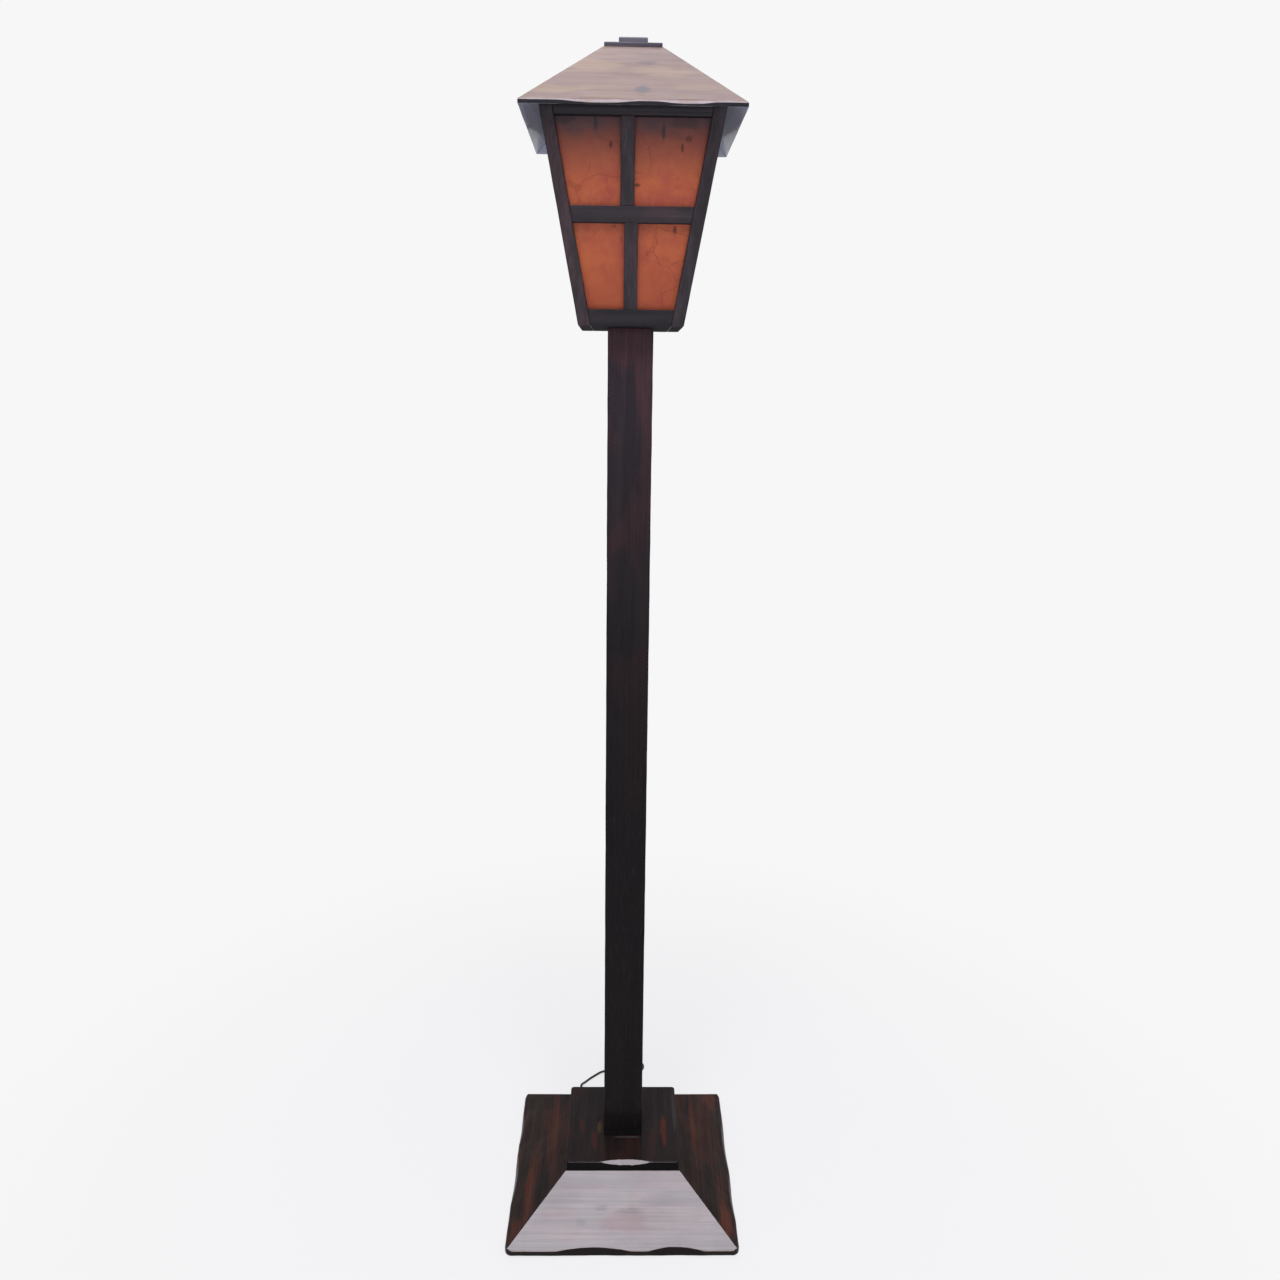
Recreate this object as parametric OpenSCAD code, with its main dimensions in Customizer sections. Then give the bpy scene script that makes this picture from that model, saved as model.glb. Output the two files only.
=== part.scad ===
// Lantern floor lamp: a tapering four-sided lantern with amber panes under a hipped roof,
// on a square post, on a hipped base. Hand-made from dark stained timber.
// +Z up, the front looks to -Y, the origin is on the floor at the middle of the base.

/* [Base] */
// Width and depth of the base at the floor
base_w = 350; // [290:1:430]
// Height of the plate's top face above the floor
base_h = 90; // [70:1:110]
// Height of the upright edge at the foot of the slope boards
base_edge_h = 6.5; // [4:0.5:12]
// Radius of the base's corners, seen from above
base_corner_r = 12; // [4:1:20]
// Thickness of the slope boards, square to their face
slope_t = 18; // [12:1:22]
// Width of the square plate on the base
plate_w = 176; // [150:1:214]
// Thickness of the plate
plate_t = 15; // [10:1:20]
// Radius of the plate's corners
plate_corner_r = 5; // [2:1:12]
// Width of the block under the plate that holds the post
core_w = 100; // [84:1:110]
// Thickness of the bottom panel
panel_t = 4; // [3:0.5:6]
// Thickness of the felt pads
pad_t = 1.5; // [1:0.5:3]
// Diameter of the felt pads
pad_d = 20; // [12:1:24]
// Height of the glue blocks inside the corners
corner_block_h = 20; // [12:1:28]
// Width of the glue blocks at their foot
corner_block_w = 50; // [40:1:60]

/* [Post] */
// Width of the square post
post_w = 60; // [48:1:72]
// Height of the lantern's underside, which is the top of the post
lantern_z = 1330; // [1100:5:1500]
// Width of the post's square tenon
tenon_w = 40; // [30:1:44]
// Length of the tenon below the plate's top face
tenon_l = 45; // [35:1:50]
// Diameter of the lead's bore along the post
lead_bore_d = 12; // [9:1:16]
// Diameter of the dowels through the tenon
dowel_d = 8; // [6:1:10]

/* [Lantern] */
// Width of the lantern at its underside
lantern_low_w = 135; // [126:1:160]
// Width of the lantern's frame at the height of the eave
lantern_top_w = 223; // [200:1:236]
// Height of the lantern from its underside to the eave's upper arris
lantern_h = 246; // [200:1:280]
// Width of the corner posts, and depth of the frame
stile_w = 16; // [12:1:20]
// Height of the bottom rails
bottom_rail_h = 20; // [13:1:24]
// Distance from the eave's upper arris down to the panes' upper edge
top_rail_drop = 10; // [6:1:20]
// Height of the cross muntin's lower edge above the underside
cross_muntin_up = 120; // [90:1:130]
// Height of the cross muntin
cross_muntin_h = 19; // [12:1:24]
// Width of the upright muntins
upright_muntin_w = 17; // [12:1:22]
// Sideways place of the upper upright muntin on each side
upper_muntin_shift = -6; // [-8:1:8]
// Sideways place of the lower upright muntin on each side
lower_muntin_shift = -1; // [-8:1:8]
// Depth of the muntins
muntin_t = 8; // [5:1:10]
// Thickness of the panes
pane_t = 2; // [1.5:0.5:3]
// Width of the glazing beads behind the panes
bead_w = 5; // [4:0.5:8]
// Thickness of the lantern's floor board
floor_t = 12; // [9:1:13]

/* [Roof] */
// Width of the roof at the eave
eave_w = 268; // [250:1:300]
// Height of the upright edge at the eave
eave_edge_h = 5; // [4:0.5:10]
// Rise of the roof from the eave's upper arris to the cap plate
roof_rise = 84; // [60:1:110]
// Width of the roof's flat top
roof_top_w = 74; // [60:1:90]
// Width of the square cap plate
cap_plate_w = 72; // [54:1:84]
// Thickness of the cap plate
cap_plate_t = 5.5; // [3:0.5:10]
// Width of the square cap block
cap_block_w = 36; // [24:1:48]
// Height of the cap block
cap_block_h = 11; // [6:1:20]
// Height of the king block under the cap plate
king_block_h = 15; // [12:1:20]
// Width of each batten of the seating frame, seen from above
batten_w = 14; // [10:1:16]

/* [Lampholder and bulb] */
// Diameter of the lampholder's flange
holder_flange_d = 56; // [50:1:58]
// Thickness of the flange
holder_flange_t = 8; // [6:1:10]
// Outer diameter of the lampholder's skirt
holder_skirt_d = 40; // [37:1:44]
// Wall of the skirt
holder_skirt_wall = 2.5; // [2:0.5:3]
// Height of the skirt
holder_skirt_h = 46; // [40:1:55]
// Diameter of the bulb's screw cap
bulb_cap_d = 26.2; // [26:0.1:27]
// Height of the screw cap
bulb_cap_h = 25; // [22:1:27]
// Diameter of the bulb's glass
bulb_d = 60; // [45:1:70]
// Height of the glass above the screw cap
bulb_glass_h = 78; // [74:1:90]
// Wall of the glass
bulb_wall = 1; // [0.8:0.1:1.2]

/* [Lead, switch and plug] */
// Diameter of the round lead
lead_d = 4; // [3.5:0.1:4.2]
// Length of the tapered part of the cord gland
gland_l = 20; // [20:1:30]
// Diameter of the gland where it passes through the board
gland_d = 8; // [7:0.5:9]
// Length of the switch housing
switch_l = 52; // [46:1:54]
// Width of the switch housing
switch_w = 22; // [20:1:22]
// Height of the switch housing
switch_h = 16; // [15:0.5:18]
// Wall of the switch housing
switch_wall = 2; // [1.5:0.5:2.5]
// Length of the rocker
rocker_l = 17.4; // [14:0.2:18]
// Width of the rocker
rocker_w = 10.4; // [8:0.2:11]
// Angle that the rocker tips from off to on
rocker_swing = 14; // [8:1:16]
// Width of the plug's body
plug_w = 35; // [30:1:36]
// Thickness of the plug's body
plug_t = 14; // [12:0.5:14]
// Length of the plug's body
plug_l = 36; // [30:1:36]
// Length of the plug's tapered sleeve
plug_sleeve_l = 20; // [20:1:30]
// Distance between the plug's pins
pin_gap = 18.6; // [18:0.1:19]
// Diameter of the plug's pins
pin_d = 4; // [4:0.1:5]
// Length of the plug's pins
pin_l = 19; // [18:0.5:20]

/* [Fits] */
// Play around a screw, dowel, lead or gland in its hole, on the radius
hole_play = 0.1; // [0.05:0.05:0.2]
// Gap between the lifting roof and what it sits on
seat_gap = 0.3; // [0.2:0.1:0.5]
// Gap between the upper end of the frame and the roof boards
roof_clear = 0.8; // [0.5:0.1:2]
// Gap around the rocker in its window
rocker_play = 0.3; // [0.3:0.1:0.5]

/* [Hidden] */
$fn = 64;

WOOD = "#3a241b";
BLACK_WOOD = "#1f1a1c";
ROOF_WOOD = "#8a7368";
AMBER = "#a35038";
RAW_WOOD = "#b89468";
DARK_PLASTIC = "#1c1a19";
BRASS = "#b08d45";
STEEL = "#9a9a9c";

PORCELAIN = "#e8e4da";
GLASS = "#f4f1e8";
FELT = "#3c3c3a";

// Sides: 0 front, 1 right, 2 back, 3 left. A side's own x runs to the right as one faces it.
// Pieces of one solid overlap by EPS, and a cutter runs CUT past the face that it opens
EPS = 0.01;
CUT = 1;

// --- base, worked out from the sizes above
base_half = base_w / 2;
plate_half = plate_w / 2;
foot_z = pad_t;
arris_z = foot_z + base_edge_h;
plate_z = base_h - plate_t;
slope_run = base_half - plate_half;
slope_rise = plate_z - arris_z;
slope_angle = atan2(slope_rise, slope_run);
slope_across = slope_t / sin(slope_angle);
panel_top_z = foot_z + panel_t;
pad_inset = 3;
dowel_side = 13;
dowel_up = 14;
channel_play = 1;
function slope_r(z) = plate_half + (plate_z - z) * slope_run / slope_rise;
function slope_inner_r(z) = slope_r(z) - slope_across;

// Gouge cuts along an arris: [place along the side, length, depth] for each side in turn
base_gouges = [
    [[-43, 116, 3.2], [80, 84, 3.2]],
    [[-70, 90, 2.8], [45, 120, 3.2]],
    [[-20, 130, 3.2], [105, 70, 2.6]],
    [[-85, 80, 2.8], [30, 110, 3.2]]
];
base_gouge_tilt = 20;
gouge_l = 60;
plate_gouges = [[[6, 74, 4.5]], [[-12, 60, 2.5]], [[20, 66, 2.5]], [[10, 56, 2.5]]];
plate_gouge_tilt = 45;
eave_gouges = [
    [[-40, 100, 2], [62, 72, 2]],
    [[-62, 70, 1.8], [40, 96, 2]],
    [[-30, 90, 2], [66, 64, 1.8]],
    [[-58, 76, 1.8], [36, 88, 2]]
];
eave_gouge_tilt = 30;

// --- lantern
lantern_low_half = lantern_low_w / 2;
lantern_top_half = lantern_top_w / 2;
eave_z = lantern_z + lantern_h;
lean = (lantern_top_half - lantern_low_half) / lantern_h;
function lantern_half(z) = lantern_low_half + lean * (z - lantern_z);
pane_low_z = lantern_z + bottom_rail_h;
pane_top_z = eave_z - top_rail_drop;
cross_low_z = lantern_z + cross_muntin_up;
cross_top_z = cross_low_z + cross_muntin_h;
floor_top_z = lantern_z + floor_t;
pane_depth = muntin_t;
bead_depth = muntin_t + pane_t;

// --- roof
eave_half = eave_w / 2;
roof_top_half = roof_top_w / 2;
roof_top_z = eave_z + roof_rise;
pitch = roof_rise / (eave_half - roof_top_half);
function roof_under_z(r) = eave_z - eave_edge_h + (eave_half - r) * pitch;
function roof_under_r(z) = eave_half - (z - eave_z + eave_edge_h) / pitch;
// The frame ends where its outer face comes within roof_clear of the boards' underside
frame_top_z = (eave_z - eave_edge_h - roof_clear
    + (eave_half - lantern_low_half + lean * lantern_z) * pitch) / (1 + lean * pitch);
batten_z = frame_top_z + seat_gap;
batten_set_in = 4;
batten_ledge = 4;
batten_outer = lantern_half(frame_top_z) - batten_set_in;
batten_inner = batten_outer - batten_w;
king_z = roof_top_z - king_block_h;
cap_block_z = roof_top_z + cap_plate_t;

// --- lampholder and bulb
holder_z = floor_top_z;
skirt_z = holder_z + holder_flange_t;
thread_play = 0.7;
skirt_lip = 4;
socket_floor_t = 8;
lead_hole_play = 2;
socket_r = bulb_cap_d / 2 + thread_play;
insulator_r = holder_skirt_d / 2 - holder_skirt_wall - hole_play;
insulator_h = holder_skirt_h - skirt_lip;
socket_floor_z = skirt_z + socket_floor_t;
contact_t = 2;
contact_r = 6;
sleeve_wall = 0.5;
bulb_z = socket_floor_z + contact_t;
bulb_tip_h = 2;
bulb_tip_low_r = 4;
bulb_tip_high_r = 9;
glass_z = bulb_z + bulb_cap_h;
bulb_r = bulb_d / 2;
neck_r = bulb_cap_d / 2;
neck_h = 6;
neck_angle = -58;
crown_angle = 86;
outline_step = 8;

// --- lead: round numbers chosen along its way, for a gland that ends at ROUTE_Y.
// The free lead moves with the gland, and the hidden lead's way is stretched to it.
ROUTE_Y = 189;
LEAD_SIDES = 8;
lead_r = lead_d / 2;
gland_z = 11;
gland_set_in = 1.8;
gland_tip_wall = 0.9;
gland_pos = [-75.5, round(slope_r(gland_z) - gland_set_in), gland_z];
gland_end_y = gland_pos.y + gland_l;
route_stretch = gland_end_y / ROUTE_Y;
lead_end_down = 3;
floor_route = [
    [-75.5, 189, 11], [-75.5, 165, 11], [-75.5, 132, 11], [-74, 120, 10.3], [-68.5, 109, 9.5],
    [-58, 99, 9], [-44, 92, 9], [-29, 86, 9], [-15, 78, 10], [-5, 67, 12], [0, 54, 14],
    [0, 40, 14], [0, 28, 15], [0, 18, 19], [0, 9, 27], [0, 3, 38], [0, 0, 50], [0, 0, 62]
];
inner_route = concat(
    [for (p = floor_route) [p.x, p.y * route_stretch, p.z]],
    [[0, 0, lantern_z], [0, 0, socket_floor_z - lead_end_down]]
);
arc_route = [
    [-75.5, 189, 11], [-75.5, 191, 11], [-75.4, 195, 10.6], [-74.6, 200.5, 8.9],
    [-72.3, 207, 6], [-69, 213.5, 3.5], [-64.5, 220.5, 2.2], [-59, 227, 2], [-52.5, 232.5, 2.6],
    [-45.5, 236.8, 4.3], [-39, 239.3, 6.1], [-33, 240, 7], [-30, 240, 7]
];
turn_route = [
    [16, 240, 7], [19, 240, 7], [26, 241, 6.5], [32.5, 245, 5], [37, 251, 3], [39, 258.5, 2],
    [38, 267, 2], [34.5, 274, 2], [31.5, 279.5, 2.5]
];
tail_route = [
    [29.5, 300, 14], [27.5, 308, 12.5], [25, 315.5, 10.5], [21.5, 323, 8.3], [20, 330, 7],
    [20, 333, 7]
];
function from_gland(p) = [p.x, p.y + gland_end_y - ROUTE_Y, p.z];
switch_pos = from_gland([-7, 240, 0]);
lead_in_z = 7;
coil_pos = from_gland([2, 287, 1]);
coil_lanes = [20, 24, 28];
coil_layers = 4;
coil_inner_r = coil_lanes[0] - lead_r;
coil_outer_r = coil_lanes[2] + lead_r;
coil_h = coil_layers * lead_d;
tie_w = 8;
tie_t = 1;
tie_slack = 0.6;
plug_pos = from_gland([20, 333, 7]);
plug_neck_w = 14;
plug_nose_l = 8;
plug_sleeve_tip_r = lead_r + 1;
plug_sleeve_foot_r = plug_neck_w / 2 - 2;
plug_body_y = plug_pos.y + plug_sleeve_l;

// --- switch
switch_split_z = switch_h / 2;
switch_inner_l = switch_l - 2 * switch_wall;
switch_inner_w = switch_w - 2 * switch_wall;
rocker_axis_down = 4;
rocker_axis_z = switch_h - rocker_axis_down;
rocker_under = 1.5;
rocker_end_up = 5.2;
rocker_middle_up = 3.8;
rocker_pin_r = 1.5;
rocker_pin_l = 1.8;
rocker_rest = rocker_swing / 2;
window_end_play = 1;
window_l = rocker_l + 2 * window_end_play;
window_w = rocker_w + 2 * rocker_play;
ear_l = 8;
ear_h = 4.5;
pin_play = 0.06;
switch_corner_r = 4;

// --- screws
screw_r = 2;
screw_head_r = 3.75;
screw_head_h = 2.5;
core_screw_bite = 20;
block_screw_bite = 12;
post_screw_bite = 26;
cap_screw_bite = 6;
holder_screw_short = 3;
block_screw_in = 12;
core_screw_l = panel_t + core_screw_bite;
block_screw_l = panel_t + block_screw_bite;
post_screw_l = floor_t + post_screw_bite;
holder_screw_l = holder_flange_t + floor_t - holder_screw_short;
cap_screw_l = king_block_h + cap_plate_t + cap_screw_bite;
post_screw_at = 20;
holder_screw_at = 23;
core_screw_at = 38;
block_screw_at = slope_inner_r(panel_top_z + corner_block_h) - block_screw_in;

// ---------------------------------------------------------------- shared shapes

// A bar with level ends whose sides lean: low and high are [x0, y0, x1, y1]
module leaning_bar(low, high, z0, z1) {
    polyhedron(
        points = [
            [low[0], low[1], z0], [low[2], low[1], z0], [low[2], low[3], z0], [low[0], low[3], z0],
            [high[0], high[1], z1], [high[2], high[1], z1], [high[2], high[3], z1],
            [high[0], high[3], z1]
        ],
        faces = [
            [0, 1, 2, 3], [7, 6, 5, 4], [4, 5, 1, 0], [5, 6, 2, 1], [6, 7, 3, 2], [7, 4, 0, 3]
        ]
    );
}

// A square with round corners, centred
module round_square(w, r) {
    square([w - 2 * r, w], center = true);
    square([w, w - 2 * r], center = true);
    for (x = [-1, 1], y = [-1, 1])
        translate([x * (w / 2 - r), y * (w / 2 - r)]) circle(r);
}

// The quarter of a square frame that belongs to the front, cut on both mitres
module front_wedge(half, z0, z1) {
    translate([0, 0, z0])
        linear_extrude(z1 - z0) polygon([[0, 0], [half, -half], [-half, -half]]);
}

// An outline of [distance out, height] points drawn along the front side
module front_moulding(outline, length) {
    rotate([90, 0, -90]) linear_extrude(length, center = true) polygon(outline);
}

// The curved cut of a wide gouge across the front arris at [distance out, height]
module gouge_cut(gouge, arris, tilt) {
    chord = gouge[1];
    depth = gouge[2];
    r = (chord * chord / 4 + depth * depth) / (2 * depth);
    translate([gouge[0], -arris[0], arris[1]])
        rotate([-tilt, 0, 0]) translate([0, depth - r, 0])
            cylinder(h = gouge_l, r = r, center = true, $fn = 180);
}

module gouges(list, arris, tilt) {
    for (g = list) gouge_cut(g, arris, tilt);
}

// A countersunk wood screw with its head's flat face at the origin, pointing down
module screw(length) {
    translate([0, 0, -screw_head_h])
        cylinder(h = screw_head_h, r1 = screw_r, r2 = screw_head_r);
    translate([0, 0, -length]) cylinder(h = length - screw_head_h + EPS, r = screw_r);
}

// The hole that a countersunk screw needs
module screw_hole(length) {
    translate([0, 0, -screw_head_h])
        cylinder(h = screw_head_h, r1 = screw_r + hole_play, r2 = screw_head_r + hole_play);
    translate([0, 0, -length - CUT])
        cylinder(h = length + CUT - screw_head_h + EPS, r = screw_r + hole_play);
    cylinder(h = CUT, r = screw_head_r + hole_play);
}

module at_four(d) {
    for (x = [-d, d], y = [-d, d]) translate([x, y, 0]) children();
}

// A round tube swept along a route of points
function unit(v) = v / norm(v);
function heading(p, i) = unit(p[min(i + 1, len(p) - 1)] - p[max(i - 1, 0)]);
function side_of(t) = unit(cross(abs(t.z) > 0.9 ? [0, 1, 0] : [0, 0, 1], t));
function carry(v, t) = unit(v - (v * t) * t);
function frames(p, i = 0, v = undef) =
    i == len(p) ? [] :
    let (t = heading(p, i), s = i == 0 ? side_of(t) : carry(v, t))
    concat([[s, cross(t, s)]], frames(p, i + 1, s));
module lead_tube(p, r) {
    f = frames(p);
    n = LEAD_SIDES;
    last = (len(p) - 1) * n;
    points = [
        for (i = [0 : len(p) - 1], k = [0 : n - 1])
            p[i] + r * (cos(k * 360 / n) * f[i][0] + sin(k * 360 / n) * f[i][1])
    ];
    walls = [
        for (i = [0 : len(p) - 2], k = [0 : n - 1])
            let (a = i * n + k, b = i * n + (k + 1) % n)
            [a, a + n, b + n, b]
    ];
    start_cap = [[for (k = [0 : n - 1]) k]];
    end_cap = [[for (k = [n - 1 : -1 : 0]) last + k]];
    polyhedron(points = points, faces = concat(walls, start_cap, end_cap));
}

// ---------------------------------------------------------------- base

// A slope board, mitred at both ends and trimmed round the core block where it would reach in
module base_board(side) {
    outline = [
        [base_half, foot_z], [base_half, arris_z], [plate_half, plate_z],
        [plate_half - slope_across, plate_z], [slope_inner_r(foot_z), foot_z]
    ];
    color(WOOD) rotate([0, 0, 90 * side]) difference() {
        intersection() {
            front_moulding(outline, base_w);
            front_wedge(base_half + CUT, 0, base_h);
            linear_extrude(base_h) round_square(base_w, base_corner_r);
        }
        gouges(base_gouges[side], [base_half, arris_z], base_gouge_tilt);
        translate([-core_w / 2, -core_w / 2, panel_top_z]) cube([core_w, core_w, base_h]);
    }
}

module front_base_board() {
    base_board(0);
}

module right_base_board() {
    base_board(1);
}

module back_base_board() {
    color(WOOD) difference() {
        base_board(2);
        gland_bore(gland_d / 2 + hole_play);
    }
}

module left_base_board() {
    base_board(3);
}

// The gland's straight way through the back board
module gland_bore(r) {
    translate([gland_pos.x, base_half + CUT, gland_pos.z])
        rotate([90, 0, 0]) cylinder(h = base_half - gland_pos.y + 2 * slope_across, r = r);
}

module base_plate() {
    color(WOOD) difference() {
        translate([0, 0, plate_z]) linear_extrude(plate_t) round_square(plate_w, plate_corner_r);
        for (side = [0 : 3])
            rotate([0, 0, 90 * side])
                gouges(plate_gouges[side], [plate_half, base_h], plate_gouge_tilt);
        translate([0, 0, base_h / 2]) cube([tenon_w, tenon_w, base_h + 2 * CUT], center = true);
    }
}

module base_core() {
    channel_w = lead_bore_d + 2 * channel_play;
    mortise_z = base_h - tenon_l;
    color(RAW_WOOD) difference() {
        translate([-core_w / 2, -core_w / 2, panel_top_z])
            cube([core_w, core_w, plate_z - panel_top_z]);
        translate([-tenon_w / 2, -tenon_w / 2, mortise_z]) cube([tenon_w, tenon_w, base_h]);
        translate([-channel_w / 2, -channel_w / 2, 0])
            cube([channel_w, core_w, mortise_z + EPS]);
        dowel_set(dowel_d / 2 + hole_play, core_w + 2 * CUT);
        at_four(core_screw_at) core_screw_place() screw_hole(core_screw_l);
    }
}

module dowel_set(r, length) {
    for (y = [-dowel_side, dowel_side])
        translate([0, y, base_h - tenon_l + dowel_up])
            rotate([0, 90, 0]) cylinder(h = length, r = r, center = true);
}

module tenon_dowels() {
    color(RAW_WOOD) dowel_set(dowel_d / 2, core_w);
}

module corner_blocks() {
    top_z = panel_top_z + corner_block_h;
    low_out = slope_inner_r(panel_top_z);
    high_out = slope_inner_r(top_z);
    inner = low_out - corner_block_w;
    color(RAW_WOOD) for (side = [0 : 3]) rotate([0, 0, 90 * side]) difference() {
        leaning_bar(
            [-low_out, -low_out, -inner, -inner], [-high_out, -high_out, -inner, -inner],
            panel_top_z, top_z
        );
        translate([-block_screw_at, -block_screw_at, 0]) core_screw_place() screw_hole(block_screw_l);
    }
}

module core_screw_place() {
    translate([0, 0, foot_z]) rotate([180, 0, 0]) children();
}

module base_panel() {
    low = slope_inner_r(foot_z);
    high = slope_inner_r(panel_top_z);
    color(RAW_WOOD) difference() {
        leaning_bar([-low, -low, low, low], [-high, -high, high, high], foot_z, panel_top_z);
        at_four(core_screw_at) core_screw_place() screw_hole(core_screw_l);
        at_four(block_screw_at) core_screw_place() screw_hole(block_screw_l);
    }
}

// The bottom panel's screws, the lantern's screws into the post and the lampholder's screws
module wood_screws() {
    color(STEEL) {
        at_four(core_screw_at) core_screw_place() screw(core_screw_l);
        at_four(block_screw_at) core_screw_place() screw(block_screw_l);
        at_four(post_screw_at) translate([0, 0, floor_top_z]) screw(post_screw_l);
        holder_screw_places() screw(holder_screw_l);
    }
}

module felt_pads() {
    pad_at = base_half - base_corner_r - pad_inset;
    color(FELT) at_four(pad_at) cylinder(h = pad_t, d = pad_d);
}

module cord_gland() {
    bore = lead_r + hole_play;
    color(DARK_PLASTIC) difference() {
        union() {
            translate([gland_pos.x, gland_pos.y, gland_pos.z])
                rotate([90, 0, 0]) cylinder(h = slope_across, d = gland_d);
            translate([gland_pos.x, gland_pos.y - EPS, gland_pos.z])
                rotate([-90, 0, 0])
                    cylinder(h = gland_l + EPS, r1 = gland_d / 2, r2 = lead_r + gland_tip_wall);
        }
        translate([gland_pos.x, gland_end_y + CUT, gland_pos.z])
            rotate([90, 0, 0]) cylinder(h = slope_across + 2 * gland_l, r = bore);
    }
}

// ---------------------------------------------------------------- post and inner lead

module post() {
    color(BLACK_WOOD) difference() {
        union() {
            translate([-post_w / 2, -post_w / 2, base_h])
                cube([post_w, post_w, lantern_z - base_h]);
            translate([-tenon_w / 2, -tenon_w / 2, base_h - tenon_l])
                cube([tenon_w, tenon_w, tenon_l + EPS]);
        }
        cylinder(h = lantern_z + CUT, d = lead_bore_d);
        dowel_set(dowel_d / 2 + hole_play, tenon_w + 2 * CUT);
        at_four(post_screw_at) translate([0, 0, floor_top_z]) screw_hole(post_screw_l);
    }
}

module inner_lead() {
    color(DARK_PLASTIC) lead_tube(inner_route, lead_r);
}

// ---------------------------------------------------------------- lantern frame

module corner_post(side) {
    low = lantern_low_half;
    high = lantern_half(frame_top_z);
    color(BLACK_WOOD) rotate([0, 0, 90 * side]) leaning_bar(
        [-low, -low, stile_w - low, stile_w - low],
        [-high, -high, stile_w - high, stile_w - high],
        lantern_z, frame_top_z
    );
}

// A bar across one side between the corner posts; near and far are depths behind its face
module side_bar(z0, z1, near, far) {
    low = lantern_half(z0);
    high = lantern_half(z1);
    leaning_bar(
        [stile_w - low, near - low, low - stile_w, far - low],
        [stile_w - high, near - high, high - stile_w, far - high],
        z0, z1
    );
}

// An upright bar on one side, centred at x
module side_upright(x, z0, z1, w, near, far) {
    low = lantern_half(z0);
    high = lantern_half(z1);
    leaning_bar(
        [x - w / 2, near - low, x + w / 2, far - low],
        [x - w / 2, near - high, x + w / 2, far - high],
        z0, z1
    );
}

module bottom_rail(side) {
    color(BLACK_WOOD) rotate([0, 0, 90 * side]) side_bar(lantern_z, pane_low_z, 0, stile_w);
}

module top_rail(side) {
    color(BLACK_WOOD) rotate([0, 0, 90 * side]) side_bar(pane_top_z, frame_top_z, 0, stile_w);
}

module muntins(side) {
    color(BLACK_WOOD) rotate([0, 0, 90 * side]) {
        side_bar(cross_low_z, cross_top_z, 0, muntin_t);
        side_upright(upper_muntin_shift, cross_top_z, pane_top_z, upright_muntin_w, 0, muntin_t);
        side_upright(lower_muntin_shift, pane_low_z, cross_low_z, upright_muntin_w, 0, muntin_t);
    }
}

module pane(side) {
    color(AMBER) rotate([0, 0, 90 * side])
        side_bar(pane_low_z, pane_top_z, pane_depth, bead_depth);
}

// A side bead leans with the corner post beside it
module side_bead(z0, z1) {
    low = lantern_half(z0);
    high = lantern_half(z1);
    leaning_bar(
        [stile_w - low, bead_depth - low, stile_w + bead_w - low, stile_w - low],
        [stile_w - high, bead_depth - high, stile_w + bead_w - high, stile_w - high],
        z0, z1
    );
}

module pane_beads() {
    low_z = pane_low_z + bead_w;
    top_z = pane_top_z - bead_w;
    color(BLACK_WOOD) for (side = [0 : 3]) rotate([0, 0, 90 * side]) {
        side_bar(pane_low_z, low_z, bead_depth, stile_w);
        side_bar(top_z, pane_top_z, bead_depth, stile_w);
        side_bead(low_z, top_z);
        mirror([1, 0, 0]) side_bead(low_z, top_z);
    }
}

module lantern_floor() {
    low = lantern_half(lantern_z) - stile_w;
    high = lantern_half(floor_top_z) - stile_w;
    color(BLACK_WOOD) difference() {
        leaning_bar([-low, -low, low, low], [-high, -high, high, high], lantern_z, floor_top_z);
        translate([0, 0, lantern_z - CUT]) cylinder(h = floor_t + 2 * CUT, d = lead_bore_d);
        at_four(post_screw_at) translate([0, 0, floor_top_z]) screw_hole(post_screw_l);
        holder_screw_places() screw_hole(holder_screw_l);
    }
}

module holder_screw_places() {
    for (x = [-holder_screw_at, holder_screw_at]) translate([x, 0, skirt_z]) children();
}

// ---------------------------------------------------------------- lampholder and bulb

module holder_body() {
    color(PORCELAIN) difference() {
        union() {
            translate([0, 0, holder_z]) cylinder(h = holder_flange_t, d = holder_flange_d);
            translate([0, 0, skirt_z - EPS]) cylinder(h = insulator_h + EPS, r = insulator_r);
        }
        translate([0, 0, socket_floor_z]) cylinder(h = insulator_h, r = socket_r + sleeve_wall);
        translate([0, 0, holder_z - CUT])
            cylinder(h = insulator_h, r = lead_r + lead_hole_play);
        holder_screw_places() screw_hole(holder_screw_l);
    }
}

module holder_skirt() {
    color(PORCELAIN) translate([0, 0, skirt_z]) difference() {
        cylinder(h = holder_skirt_h, d = holder_skirt_d);
        translate([0, 0, -CUT])
            cylinder(h = holder_skirt_h + 2 * CUT, d = holder_skirt_d - 2 * holder_skirt_wall);
    }
}

// The thread sleeve round the bulb's cap and the contact under its tip
module holder_contacts() {
    color(BRASS) translate([0, 0, socket_floor_z]) {
        difference() {
            cylinder(h = bulb_cap_h, r = socket_r + sleeve_wall - hole_play);
            translate([0, 0, -CUT])
                cylinder(h = bulb_cap_h + 2 * CUT, r = socket_r - hole_play);
        }
        cylinder(h = contact_t, r = contact_r);
    }
}

module bulb_cap() {
    color(STEEL) {
        translate([0, 0, bulb_z])
            cylinder(h = bulb_tip_h, r1 = bulb_tip_low_r, r2 = bulb_tip_high_r);
        translate([0, 0, bulb_z + bulb_tip_h - EPS])
            cylinder(h = bulb_cap_h - bulb_tip_h + EPS, d = bulb_cap_d);
    }
}

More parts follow.
